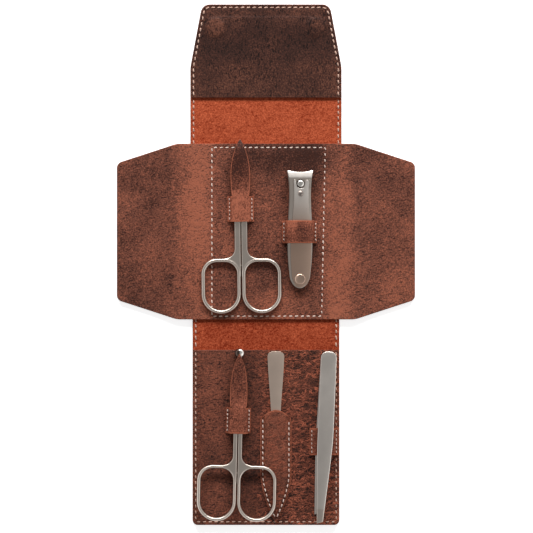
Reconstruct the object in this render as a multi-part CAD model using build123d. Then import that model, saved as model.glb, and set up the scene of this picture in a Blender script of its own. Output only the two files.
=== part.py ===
"""Folding leather manicure case lying open, with five steel nail tools in its holders. Millimetres, +Z up.

+Y runs towards the closing flap, Z = 0 is the underside of the outer leather, X = 0 the middle of the case.
"""

import math
import os

from build123d import *

os.makedirs("parts", exist_ok=True)

# leather layers
T_OUTER = 1.2
T_LINING = 0.5
T_FACING = 1.3
T_STRAP = 1.1
Z_LINING = T_OUTER
Z_CREASE = T_OUTER + T_LINING
Z_TOP = Z_CREASE + T_FACING

# lengths along the strip, from the bottom end to the flap's end
PANEL_L = 97.9
BOTTOM_SPINE_L = 15.9
MIDDLE_L = 98.2
TOP_SPINE_L = 24.9
FLAP_L = 52.1
CREASE_GAP = 0.3
PANEL_GAP = 0.7

# half widths of the strip
HW_TOP = 42.0
HW_BOTTOM = 40.8
FLAP_TAPER = 6.5
FLAP_TAPER_L = 34.5
R_FLAP = 5.0
R_FLAP_TAPER = 12.0
R_PANEL = 2.8

# wings of the middle piece, measured from its folds
WING_REACH = 41.4
WING_FLAT = 8.1
WING_TAPER = 18.0
R_WING = 3.5
GUSSET_LEFT = 6.0
GUSSET_RIGHT = 8.5

# magnets of the flap and the steel discs they meet
MAGNET_INSET = 14.0
MAGNET_FROM_END = 12.6
D_MAGNET = 9.0
T_MAGNET = 1.0
D_BUMP = 12.0
H_BUMP = 0.5
DISC_FIT = 0.1
T_KEEPER = 0.4

# places worked out from the sizes above
Y_END = -(PANEL_L + BOTTOM_SPINE_L + MIDDLE_L + TOP_SPINE_L + FLAP_L) / 2
Y_D = Y_END + PANEL_L
Y_C = Y_D + BOTTOM_SPINE_L
Y_B = Y_C + MIDDLE_L
Y_A = Y_B + TOP_SPINE_L
Y_FLAP = Y_A + FLAP_L
X_FOLD = (HW_TOP + HW_BOTTOM) / 2
X_WING = X_FOLD + WING_REACH
X_MAGNET = HW_TOP - MAGNET_INSET
Y_MAGNET = Y_FLAP - MAGNET_FROM_END
Y_KEEPER = Y_D - (Y_B - (Y_MAGNET - Y_A) - Y_C)

# how tools lie on the leather and under their straps
LIFT = 0.1
STRAP_CLEAR = 0.15


def save(shape, name):
    export_step(shape, f"parts/{name}.step")


def poly(points):
    return make_face(Polyline(*points, close=True))


def corners(face, y):
    """Corners of a flat face at one Y."""
    return [v for v in face.vertices() if abs(v.Y - y) < 0.01]


def plate(face, z, thickness):
    return extrude(Pos(0, 0, z) * face, amount=thickness, dir=(0, 0, 1))


def box(x0, x1, y0, y1, z0, z1):
    return Pos((x0 + x1) / 2, (y0 + y1) / 2, (z0 + z1) / 2) * Box(x1 - x0, y1 - y0, z1 - z0)


def disc(x, y, z, diameter, height):
    return Pos(x, y, z + height / 2) * Cylinder(diameter / 2, height)


def shifted(points, distance):
    """An open run of points moved sideways to its left by a distance, with mitred corners."""
    moved = []
    for i, (x, y) in enumerate(points):
        normals = []
        for a, b in ((i - 1, i), (i, i + 1)):
            if a >= 0 and b < len(points):
                dx = points[b][0] - points[a][0]
                dy = points[b][1] - points[a][1]
                length = math.hypot(dx, dy)
                normals.append((-dy / length, dx / length))
        nx = sum(n[0] for n in normals)
        ny = sum(n[1] for n in normals)
        scale = distance * len(normals) / (nx * nx + ny * ny)
        if len(normals) == 1:
            scale = distance
        moved.append((x + nx * scale, y + ny * scale))
    return moved


def strap(points, thickness, y0, y1):
    """A strap whose underside follows points (X, Z) from left to right, running from y0 to y1."""
    section = poly(points + shifted(points, thickness)[::-1])
    return extrude(Plane.XZ * section, amount=y1 - y0).moved(Pos(0, y1, 0))


# ---- outer leather and lining, one piece per panel ----
flap_hw = HW_TOP - FLAP_TAPER
flap_face = poly(
    [
        (-HW_TOP, Y_A),
        (HW_TOP, Y_A),
        (HW_TOP, Y_FLAP - FLAP_TAPER_L),
        (flap_hw, Y_FLAP),
        (-flap_hw, Y_FLAP),
        (-HW_TOP, Y_FLAP - FLAP_TAPER_L),
    ]
)
flap_face = fillet(corners(flap_face, Y_FLAP), R_FLAP)
flap_face = fillet(corners(flap_face, Y_FLAP - FLAP_TAPER_L), R_FLAP_TAPER)
top_spine_face = poly([(-HW_TOP, Y_B), (HW_TOP, Y_B), (HW_TOP, Y_A), (-HW_TOP, Y_A)])
middle_face = poly([(-HW_BOTTOM, Y_C), (HW_BOTTOM, Y_C), (HW_TOP, Y_B), (-HW_TOP, Y_B)])
bottom_spine_face = poly([(-HW_BOTTOM, Y_D), (HW_BOTTOM, Y_D), (HW_BOTTOM, Y_C), (-HW_BOTTOM, Y_C)])
panel_face = poly([(-HW_BOTTOM, Y_END), (HW_BOTTOM, Y_END), (HW_BOTTOM, Y_D), (-HW_BOTTOM, Y_D)])
panel_face = fillet(corners(panel_face, Y_END), R_PANEL)

panels = {
    "flap": flap_face,
    "top_spine": top_spine_face,
    "middle": middle_face,
    "bottom_spine": bottom_spine_face,
    "bottom_panel": panel_face,
}
for panel_name, face in panels.items():
    outer = plate(face, 0, T_OUTER)
    if panel_name == "bottom_panel":
        for side in (-1, 1):
            outer -= disc(side * X_MAGNET, Y_KEEPER, T_OUTER - T_KEEPER, D_MAGNET + DISC_FIT, 2 * T_KEEPER)
    save(outer, f"outer_{panel_name}")
    save(plate(face, Z_LINING, T_LINING), f"lining_{panel_name}")

# ---- facings of the flap and of the bottom panel ----
beyond = 2 * Y_FLAP
flap_facing = plate(flap_face, Z_CREASE, T_FACING)
flap_facing -= box(-beyond, beyond, Y_A - 1, Y_A + CREASE_GAP, 0, Z_TOP + 1)
for side, name in ((-1, "left"), (1, "right")):
    bump = Pos(side * X_MAGNET, Y_MAGNET, Z_TOP + H_BUMP / 2) * Cone(D_BUMP / 2, D_MAGNET / 2, H_BUMP)
    pocket = disc(side * X_MAGNET, Y_MAGNET, Z_CREASE - 1, D_MAGNET + DISC_FIT, T_MAGNET + DISC_FIT + 1)
    flap_facing = flap_facing + bump - pocket
    save(disc(side * X_MAGNET, Y_MAGNET, Z_CREASE, D_MAGNET, T_MAGNET), f"magnet_{name}")
    save(disc(side * X_MAGNET, Y_KEEPER, T_OUTER - T_KEEPER, D_MAGNET, T_KEEPER), f"keeper_{name}")
save(flap_facing, "flap_facing")
panel_facing = plate(panel_face, Z_CREASE, T_FACING)
panel_facing -= box(-beyond, beyond, Y_D - PANEL_GAP, Y_D + 1, 0, Z_TOP + 1)
save(panel_facing, "bottom_facing")

# ---- the middle piece with its wings, split at its folds ----
wing_top = Y_B - CREASE_GAP
wing_bottom = Y_C + CREASE_GAP
wing_drop = (WING_REACH - WING_FLAT) * math.tan(math.radians(WING_TAPER))
wing_flat_x = X_FOLD + WING_FLAT
cross_face = poly(
    [
        (-wing_flat_x, wing_bottom),
        (wing_flat_x, wing_bottom),
        (X_WING, wing_bottom + wing_drop),
        (X_WING, wing_top - wing_drop),
        (wing_flat_x, wing_top),
        (-wing_flat_x, wing_top),
        (-X_WING, wing_top - wing_drop),
        (-X_WING, wing_bottom + wing_drop),
    ]
)
cross_face = fillet([v for v in cross_face.vertices() if abs(v.X) > X_WING - 1], R_WING)
cross = plate(cross_face, Z_CREASE, T_FACING)
x_left = -X_FOLD - GUSSET_LEFT
x_right = X_FOLD + GUSSET_RIGHT
cross_pieces = {
    "left_wing": (-X_WING - 1, x_left),
    "left_gusset": (x_left, -X_FOLD),
    "wing_base": (-X_FOLD, X_FOLD),
    "right_gusset": (X_FOLD, x_right),
    "right_wing": (x_right, X_WING + 1),
}
for name, (x0, x1) in cross_pieces.items():
    save(cross & box(x0, x1, wing_bottom - 1, wing_top + 1, 0, Z_TOP + 1), name)

# ---- scissors ----
BLADE = 1.45
BLADE_GAP = 0.05
SCISSOR_H = 2 * BLADE + BLADE_GAP
SHANK_IN = 0.55
SHANK_SPLIT = 0.2
RING_HALF = 9.9
RING_R_FRONT = 7.5
PIVOT_R = 4.0
PIN_D = 2.0
PIN_FIT = 0.05
SCREW_D = 4.2
SCREW_H = 0.3


def ring_path(centre, front, rear):
    """Closed outline along the middle of a finger ring's bar."""
    face = poly(
        [
            (centre - RING_HALF, rear),
            (centre + RING_HALF, rear),
            (centre + RING_HALF, front),
            (centre - RING_HALF, front),
        ]
    )
    face = fillet([v for v in face.vertices() if v.Y < rear + 1], RING_HALF - 0.05)
    return fillet([v for v in face.vertices() if v.Y > front - 1], RING_R_FRONT)


def handle(side, bar_d, half_width, front, rear, neck):
    """One finger ring and its shank, from the ring's rear up to neck. side is 1 right, -1 left."""
    offset_x = SHANK_SPLIT + bar_d / 2
    path = ring_path(offset_x + RING_HALF, front, rear)
    flare = front + bar_d / 2
    blend = 4.4
    web = make_face(
        Polyline((SHANK_SPLIT, front - RING_R_FRONT), (SHANK_SPLIT, neck), (half_width, neck))
        + Line((half_width, neck), (half_width, flare + blend))
        + RadiusArc((half_width, flare + blend), (half_width + blend, flare), -blend)
        + Polyline(
            (half_width + blend, flare),
            (half_width + blend, front - RING_R_FRONT),
            (SHANK_SPLIT, front - RING_R_FRONT),
        )
    )
    web -= offset(path, -bar_d * 0.4)
    shank = plate(web, SHANK_IN, SCISSOR_H - 2 * SHANK_IN)
    start = Plane(origin=(offset_x + RING_HALF, rear, SCISSOR_H / 2), x_dir=(0, 0, 1), z_dir=(1, 0, 0))
    wire = Pos(0, 0, SCISSOR_H / 2) * path.face().outer_wire()
    ring = sweep(start * Circle(bar_d / 2), path=wire)
    body = shank + ring
    if side < 0:
        body = mirror(body, about=Plane.YZ)
    return body


def half_scissors(side, z, spec):
    """One half: ring, shank, pivot plate and blade. The blade lies on the other side of the axis."""
    body = handle(side, spec["bar"], spec["half"], spec["ring_front"], spec["ring_rear"], spec["pivot"] - 5.4)
    plate_shape = disc(0, spec["pivot"], z, 2 * PIVOT_R, BLADE)
    neck = [
        (side * SHANK_SPLIT, spec["pivot"] - 6.0),
        (side * spec["half"], spec["pivot"] - 6.0),
        (side * spec["half"], spec["pivot"]),
        (side * SHANK_SPLIT, spec["pivot"]),
    ]
    blade = [
        (side * spec["half"] * 0.9, spec["pivot"]),
        (side * spec["lap"], spec["tip"] - 4.0),
        (-side * 0.1, spec["tip"]),
        (-side * spec["tip_half"], spec["tip"] - 2.5),
        (-side * spec["blade_half"], spec["pivot"] + 9.0),
        (-side * spec["half"] * 0.9, spec["pivot"]),
    ]
    body += plate_shape + plate(poly(neck), z, BLADE) + plate(poly(blade), z, BLADE)
    if spec["ball"]:
        ball = Pos(0, spec["tip"], SCISSOR_H / 2) * scale(Sphere(spec["ball"] / 2), (1, 1, spec["ball_squash"]))
        ball &= box(*sorted((-side * BLADE_GAP / 2, -side * 5)), spec["tip"] - 5, spec["tip"] + 5, -5, 9)
        body += ball
    hole = PIN_D + (2 * PIN_FIT if side < 0 else 0)
    return body - disc(0, spec["pivot"], -1, hole, SCISSOR_H + 2)


def screw(spec):
    pin = disc(0, spec["pivot"], 0, PIN_D, SCISSOR_H)
    return pin + disc(0, spec["pivot"], SCISSOR_H, SCREW_D, SCREW_H)


def placed(shape, spec):
    """From the tool's own frame, with its axis along Y through the origin, to where it lies in the case."""
    lie = Pos(spec["x"], spec["y"], Z_TOP + LIFT) * Rot(0, 0, spec["turn"]) * Rot(spec["tilt"], 0, 0)
    return shape.moved(lie)


nail = {
    "x": -14.35,
    "y": Y_B - 3.8,
    "turn": 0.6,
    "tilt": 0.0,
    "tip": 0.0,
    "pivot": -33.3,
    "half": 3.55,
    "bar": 2.25,
    "ring_front": -61.2,
    "ring_rear": -89.8,
    "blade_half": 2.6,
    "tip_half": 0.5,
    "lap": 0.4,
    "ball": 0.0,
    "ball_squash": 1.0,
}
round_tip = {
    "x": -14.6,
    "y": Y_D - 2.7,
    "turn": -1.2,
    "tilt": -1.8,
    "tip": 0.0,
    "pivot": -37.6,
    "half": 2.45,
    "bar": 1.9,
    "ring_front": -62.7,
    "ring_rear": -91.9,
    "blade_half": 2.0,
    "tip_half": 1.2,
    "lap": -0.1,
    "ball": 5.1,
    "ball_squash": 0.6,
}
for name, spec in (("nail_scissors", nail), ("round_scissors", round_tip)):
    save(placed(half_scissors(1, 0, spec), spec), f"{name}_right")
    save(placed(half_scissors(-1, BLADE + BLADE_GAP, spec), spec), f"{name}_left")
    save(placed(screw(spec), spec), f"{name}_screw")


# ---- sheaths: a stitched loop with a leaf-shaped tongue over the blades ----
LOOP_FAR = 7.6
LOOP_NEAR = 6.6
LOOP_LEAN = 0.5
LEAF = [(-0.03, 0.9), (0.38, 1.0), (0.64, 0.9), (0.82, 0.62), (0.93, 0.32), (1.0, 0.035)]


def sheath(spec, base_half, tab_half, leaf_half, leaf_tip, hangs):
    """A loop round the pivot and a tongue from it to leaf_tip, which hangs down past the blades or lies on them."""
    slope = -math.tan(math.radians(spec["tilt"]))
    cover = SCISSOR_H + SCREW_H + STRAP_CLEAR + LIFT
    far = spec["pivot"] + LOOP_FAR
    near = spec["pivot"] - LOOP_NEAR

    def over(v):
        return Z_TOP + cover - slope * v

    crown = over(near)
    arch = [
        (-tab_half, Z_TOP),
        (-base_half, Z_TOP),
        (-base_half + LOOP_LEAN, crown),
        (base_half - LOOP_LEAN, crown),
        (base_half, Z_TOP),
        (tab_half, Z_TOP),
    ]
    loop = strap(arch, T_STRAP, near, far)
    loop &= box(-tab_half, tab_half, near, far, Z_TOP, crown + T_STRAP)
    bend = min(leaf_tip - 1.0, 0.6)
    tip_z = Z_TOP + LIFT if hangs else over(leaf_tip)
    low = [(far - 0.8, crown), (far + 4, over(far)), (bend, over(bend)), (leaf_tip, tip_z)]
    side_face = poly(low + shifted(low, T_STRAP)[::-1])
    sheet = extrude(Plane.YZ * side_face, amount=tab_half, both=True)
    leaf = [(far + (leaf_tip - far) * f, leaf_half * w) for f, w in LEAF]
    plan = poly([(w, v) for v, w in leaf] + [(-w, v) for v, w in reversed(leaf)])
    tongue = sheet & plate(plan, Z_TOP, crown)
    return (loop + tongue).moved(Pos(spec["x"], spec["y"], 0) * Rot(0, 0, spec["turn"]))


save(sheath(nail, PIVOT_R + 1.6, 7.4, 5.9, Y_B - CREASE_GAP - 0.1 - nail["y"], True), "nail_sheath")
save(sheath(round_tip, PIVOT_R + 1.0, 7.2, 5.3, -1.0, False), "round_sheath")

# ---- nail clipper ----
CLIP_X = 18.6
CLIP_LEN = 65.1
CLIP_FRONT = Y_B - 15.4
CLIP_REAR = CLIP_FRONT - CLIP_LEN
CLIP_ROLL = 5.0
LEAF_T = 1.2
LEVER_T = 1.0
LEAF_RISE = 3.0
LEAF_GAP = 0.05
POST_D = 3.0
POST_HEAD = 4.2
POST_FIT = 0.35
RIVET_D = 3.0
Y_POST = CLIP_FRONT - 7.3
Y_RIVET = CLIP_REAR + 4.4
Y_BEND = Y_RIVET + 2.0
LEVER_FRONT = Y_POST + 1.8
LEVER_GAP = 0.2


def rounded_plan(points, radius, rear_y):
    face = poly(points)
    return fillet([v for v in face.vertices() if v.Y < rear_y + 1], radius)


half_plan = [
    (CLIP_FRONT, 7.2),
    (CLIP_FRONT - 5, 6.7),
    (CLIP_FRONT - 16, 6.0),
    (CLIP_REAR + 33, 6.5),
    (CLIP_REAR + 21, 6.9),
    (CLIP_REAR + 7, 6.2),
]
leaf_plan = rounded_plan(
    [(w, v) for v, w in half_plan]
    + [(4.9, CLIP_REAR), (-4.9, CLIP_REAR)]
    + [(-w, v) for v, w in reversed(half_plan)],
    4.2,
    CLIP_REAR,
)
jaw_cut = Pos(0, CLIP_FRONT + 11.0, 0) * Circle(12.2)
leaf_plan -= jaw_cut

low_line = [(CLIP_REAR - 1, 0.0), (CLIP_FRONT - 7, 0.0), (CLIP_FRONT + 1, 0.6)]
high_start = LEAF_T + LEAF_GAP
high_line = [
    (CLIP_REAR - 1, high_start),
    (Y_BEND, high_start),
    (CLIP_FRONT - 9, high_start + LEAF_RISE),
    (CLIP_FRONT - 4.0, high_start + LEAF_RISE),
    (CLIP_FRONT + 1, high_start + LEAF_RISE - 1.2),
]
lever_start = high_start + LEAF_T + LEVER_GAP
lever_line = [
    (CLIP_REAR - 1, lever_start),
    (Y_BEND, lever_start),
    (CLIP_FRONT - 9, lever_start + LEAF_RISE),
    (CLIP_FRONT, lever_start + LEAF_RISE),
]


def bent(line, thickness, plan):
    """A sheet that follows line (Y, Z) seen from the side and plan seen from above."""
    side_face = poly(line + shifted(line, thickness)[::-1])
    sheet = extrude(Plane.YZ * side_face, amount=20, both=True)
    return sheet & plate(plan, -1, 20)


def rolled(shape):
    """From the clipper's own frame to where it lies, resting on its right lower edge."""
    low = 6.9 * math.sin(math.radians(CLIP_ROLL))
    return shape.moved(Pos(CLIP_X, 0, Z_TOP + LIFT + low) * Rot(0, CLIP_ROLL, 0))


post_hole = disc(0, Y_POST, -1, POST_D + 2 * POST_FIT, 20)
lower_leaf = bent(low_line, LEAF_T, leaf_plan) - disc(0, Y_POST, -1, POST_D, 20) - disc(0, Y_RIVET, -1, RIVET_D, 20)
upper_leaf = bent(high_line, LEAF_T, leaf_plan) - post_hole - disc(0, Y_RIVET, -1, RIVET_D + 0.1, 20)
lever_half = [
    (LEVER_FRONT, 4.4),
    (LEVER_FRONT - 4, 4.0),
    (LEVER_FRONT - 18.6, 4.9),
    (CLIP_REAR + 23, 5.7),
    (CLIP_REAR + 7, 5.4),
]
lever_plan = rounded_plan(
    [(w, v) for v, w in lever_half] + [(4.4, CLIP_REAR), (-4.4, CLIP_REAR)] + [(-w, v) for v, w in reversed(lever_half)],
    4.0,
    CLIP_REAR,
)
notch = disc(0, Y_POST, -1, POST_HEAD + 0.8, 20) + box(-1.7, 1.7, Y_POST, CLIP_FRONT, -1, 20)
lever = bent(lever_line, LEVER_T, lever_plan) - notch
lever += Pos(0, Y_RIVET, lever_start + LEVER_T + 0.2) * Cone(3.25, 2.9, 0.4)
lever += Pos(0, Y_POST - 5.4, lever_start + LEAF_RISE + LEVER_T + 0.1) * Cone(1.65, 1.3, 0.5)
lever_top = lever_start + LEAF_RISE + LEVER_T
post = disc(0, Y_POST, 0, POST_D, lever_top - 0.2) + Pos(0, Y_POST, lever_top + 0.1) * Cone(POST_HEAD / 2, POST_HEAD / 2 - 0.3, 0.6)
rivet = disc(0, Y_RIVET, 0, RIVET_D, LEAF_T + LEAF_GAP + LEAF_T)
save(rolled(lower_leaf), "clipper_lower_leaf")
save(rolled(upper_leaf), "clipper_upper_leaf")
save(rolled(lever), "clipper_lever")
save(rolled(post), "clipper_post")
save(rolled(rivet), "clipper_rivet")

# ---- clipper band ----
BAND_Y = (CLIP_REAR + 24.9, CLIP_REAR + 37.4)
band_fraction = (BAND_Y[1] - Y_BEND) / (CLIP_FRONT - 9 - Y_BEND)
band_h = lever_start + LEVER_T + LEAF_RISE * band_fraction + STRAP_CLEAR


def roll_point(x, z):
    a = math.radians(CLIP_ROLL)
    low = 6.9 * math.sin(a)
    return (CLIP_X + x * math.cos(a) + z * math.sin(a), Z_TOP + LIFT + low - x * math.sin(a) + z * math.cos(a))


left_top = roll_point(-6.6, band_h)
right_top = roll_point(6.8, band_h)
left_mid = roll_point(-7.2, 2.4)
band_points = [
    (8.9, Z_TOP),
    (left_mid[0] - 0.35, Z_TOP),
    (left_mid[0] - 0.2, left_mid[1]),
    left_top,
    right_top,
    (CLIP_X + 7.75, Z_TOP),
    (28.4, Z_TOP),
]
save(strap(band_points, T_STRAP, *BAND_Y), "clipper_band")

# ---- nail file and its pocket ----
FILE_X = 5.5
FILE_T = 1.2
FILE_LEN = 90.5
FILE_HANDLE = 4.55
FILE_NECK = 2.6
FILE_BLADE = 3.4
FILE_TOP = Y_D - 1.4
FILE_TIP = FILE_TOP - FILE_LEN
R_HANDLE = 3.6
file_half = [
    (FILE_TOP, FILE_HANDLE),
    (FILE_TOP - 12.0, FILE_HANDLE - 0.35),
    (FILE_TOP - 32.5, FILE_NECK),
    (FILE_TOP - 40.0, FILE_NECK),
    (FILE_TOP - 44.0, FILE_BLADE),
    (FILE_TIP + 16.5, FILE_BLADE),
    (FILE_TIP + 6.5, FILE_BLADE - 1.1),
]
file_face = poly(
    [(w, v) for v, w in file_half] + [(0, FILE_TIP)] + [(-w, v) for v, w in reversed(file_half)]
)
file_face = fillet(corners(file_face, FILE_TOP), R_HANDLE)
save(plate(file_face, Z_TOP + LIFT, FILE_T).moved(Pos(FILE_X, 0, 0)), "nail_file")

POCKET_HALF = 8.6
POCKET_SIDE = 2.9
POCKET_SLOPE = 35.0
POCKET_MOUTH = FILE_TOP - 32.6
POCKET_SHOULDER = POCKET_MOUTH - 5.4
POCKET_TIP = FILE_TIP - 4.1
POCKET_TURN = FILE_TIP + 20.5


def ogive(half, tip, top):
    """A straight-sided shape from top down to where two arcs run together at tip."""
    outline = (
        Polyline((half, POCKET_TURN), (half, top), (-half, top), (-half, POCKET_TURN))
        + ThreePointArc((-half, POCKET_TURN), (-half * 0.66, (POCKET_TURN + tip) / 2), (-0.3, tip))
        + Line((-0.3, tip), (0.3, tip))
        + ThreePointArc((0.3, tip), (half * 0.66, (POCKET_TURN + tip) / 2), (half, POCKET_TURN))
    )
    return make_face(outline)


def pillow(half, tip, top, height):
    return extrude(ogive(half, tip, top), amount=height, taper=POCKET_SLOPE)


cavity_h = LIFT + FILE_T + STRAP_CLEAR
plan = ogive(POCKET_HALF, POCKET_TIP, POCKET_SHOULDER)
plan += make_face(
    ThreePointArc((-POCKET_HALF, POCKET_SHOULDER), (0, POCKET_MOUTH), (POCKET_HALF, POCKET_SHOULDER))
    + Line((POCKET_HALF, POCKET_SHOULDER), (-POCKET_HALF, POCKET_SHOULDER))
)
room = FILE_BLADE + POCKET_SIDE
shell = plate(plan, 0, T_STRAP) + pillow(room + 1.3, POCKET_TIP + 0.8, POCKET_MOUTH + 10, cavity_h + T_STRAP)
shell &= plate(plan, 0, 10)
shell -= pillow(room, POCKET_TIP + 2.4, POCKET_MOUTH + 20, cavity_h)
save(shell.moved(Pos(FILE_X, 0, Z_TOP)), "file_pocket")

# ---- tweezers ----
TW_X = 35.0
TW_Y = Y_D - 1.4
TW_TURN = -2.58
TW_T = 1.0
TW_LEN = 95.4
TW_HEEL = 10.0
TW_SHORTER = 4.6
TW_LOW_TURN = -0.9
TW_HALF = 4.35
TW_TIP = 1.7
TW_TIP_X = -2.1
TW_SLANT = 1.2


def leg_plan(length):
    """A leg from above: straight on its left side, narrowing on its right, with a slanted tip."""
    face = poly(
        [
            (-TW_HALF, 0),
            (TW_HALF, 0),
            (TW_HALF, -length * 0.52),
            (TW_TIP_X + TW_TIP, -length + TW_SLANT),
            (TW_TIP_X - TW_TIP, -length),
            (-TW_HALF, -length * 0.7),
        ]
    )
    return fillet(corners(face, 0), TW_HALF - 0.35)


def leg(line, length):
    side_face = poly(line + shifted(line, TW_T)[::-1])
    sheet = extrude(Plane.YZ * side_face, amount=8, both=True)
    return sheet & plate(leg_plan(length), -2, 20)


heel_h = 2 * TW_T + 0.2
low_len = TW_LEN - TW_SHORTER
lower = leg([(1, TW_T), (-low_len - 1, TW_T)], low_len).moved(Rot(0, 0, TW_LOW_TURN))
heel = plate(leg_plan(TW_LEN), 0, heel_h) & box(-9, 9, -TW_HEEL, 1, -1, 9)
upper_line = [
    (1, heel_h),
    (-TW_HEEL, heel_h),
    (-TW_LEN * 0.335, 4.5),
    (-TW_LEN * 0.577, 5.4),
    (-TW_LEN * 0.818, 5.5),
    (-TW_LEN - 1, 5.1),
]
upper = leg(upper_line, TW_LEN) - box(-9, 9, -TW_HEEL, 2, -3, 20)
lie = Pos(TW_X, TW_Y, Z_TOP + LIFT) * Rot(0, 0, TW_TURN)
save((lower + heel).moved(lie), "tweezers_lower_leg")
save(upper.moved(lie), "tweezers_upper_leg")

# ---- tweezers band, lying between the two legs ----
tw_top = Z_TOP + LIFT + TW_T + STRAP_CLEAR
TW_BAND_FROM_TOP = 42.6
TW_BAND_L = 15.0
band_left = TW_X - 8.2
band_right = TW_X + 2.9
tw_band = [
    (band_left - 2.2, Z_TOP),
    (band_left - 0.3, Z_TOP),
    (band_left, tw_top),
    (band_right, tw_top),
    (band_right + 0.3, Z_TOP),
    (band_right + 2.3, Z_TOP),
]
band_top_y = TW_Y - TW_BAND_FROM_TOP
save(strap(tw_band, T_STRAP, band_top_y - TW_BAND_L, band_top_y), "tweezers_band")
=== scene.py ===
"""Looks of the folding leather manicure case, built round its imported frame. Lengths are in millimetres until
a mesh is made."""

import math

import bmesh
import bpy
import numpy as np
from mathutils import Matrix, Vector


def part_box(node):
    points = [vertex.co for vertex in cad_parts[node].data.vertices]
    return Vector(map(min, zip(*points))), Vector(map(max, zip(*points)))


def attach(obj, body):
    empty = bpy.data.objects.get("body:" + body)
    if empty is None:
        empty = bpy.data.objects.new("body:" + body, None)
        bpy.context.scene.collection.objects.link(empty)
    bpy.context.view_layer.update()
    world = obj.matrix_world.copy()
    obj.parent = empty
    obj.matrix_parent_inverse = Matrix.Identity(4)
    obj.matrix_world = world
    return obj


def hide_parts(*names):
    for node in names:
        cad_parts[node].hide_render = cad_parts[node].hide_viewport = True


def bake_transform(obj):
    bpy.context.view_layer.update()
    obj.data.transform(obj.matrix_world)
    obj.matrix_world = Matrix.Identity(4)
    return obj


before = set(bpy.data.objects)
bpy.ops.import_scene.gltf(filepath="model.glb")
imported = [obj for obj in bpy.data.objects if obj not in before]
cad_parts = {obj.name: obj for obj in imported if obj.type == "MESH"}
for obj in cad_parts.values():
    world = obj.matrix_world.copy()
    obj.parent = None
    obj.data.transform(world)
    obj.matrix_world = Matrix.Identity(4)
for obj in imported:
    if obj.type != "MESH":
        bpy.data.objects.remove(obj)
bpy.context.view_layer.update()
MM = 0.001
FULL = 2 * math.pi


def span(node):
    """Lowest and highest corner of a CAD node, in millimetres."""
    return [np.array(corner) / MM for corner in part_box(node)]


# ---- the case's own sizes, read from the frame ----
Y_END, Y_D = (c[1] for c in span("outer_bottom_panel"))
Y_C, Y_B = (c[1] for c in span("outer_middle"))
Y_A, Y_FLAP = (c[1] for c in span("outer_flap"))
Y_LOW, Y_MID, Y_HIGH = (Y_D + Y_C) / 2, (Y_C + Y_B) / 2, (Y_B + Y_A) / 2
HW_TOP = span("outer_top_spine")[1][0]
HW_BOTTOM = span("outer_bottom_panel")[1][0]
WING_BOTTOM, WING_TOP = (c[1] for c in span("wing_base"))
X_FOLD = span("wing_base")[1][0]
X_LEFT_TURN = span("left_gusset")[0][0]
X_RIGHT_TURN = span("right_gusset")[1][0]
X_WING = span("right_wing")[1][0]
Z_LINING, Z_CREASE = (c[2] for c in span("lining_middle"))
_, PANEL_TOP, Z_TOP = span("bottom_facing")[1]
FLAP_START = span("flap_facing")[0][1]

# ---- sizes shared with the part's source: corners, tapers and the holders' leather ----
R_PANEL, R_FLAP, R_WING = 2.8, 5.0, 3.5
FLAP_TAPER, FLAP_TAPER_L = 6.5, 34.5
WING_FLAT, WING_SLOPE = 8.1, math.tan(math.radians(18.0))
LEATHER = 1.1
ON_LEATHER = np.array([0, 0, Z_TOP + 0.1])

# ---- seams: way in from an edge, depth of their groove and heights of the thread ----
STITCH_IN = 1.8
GROOVE = 0.2
RECTANGLE_DEEP, PANEL_DEEP = 0.42, 0.46
UNDER_STITCH = 0.3


# ---- shader graphs ----
def srgb(shown):
    """A colour as it shows on screen, 0 to 255, as the linear colour that shaders take."""
    parts = [c / 255 for c in shown]
    return tuple(c / 12.92 if c <= 0.04045 else ((c + 0.055) / 1.055) ** 2.4 for c in parts) + (1.0,)


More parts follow.
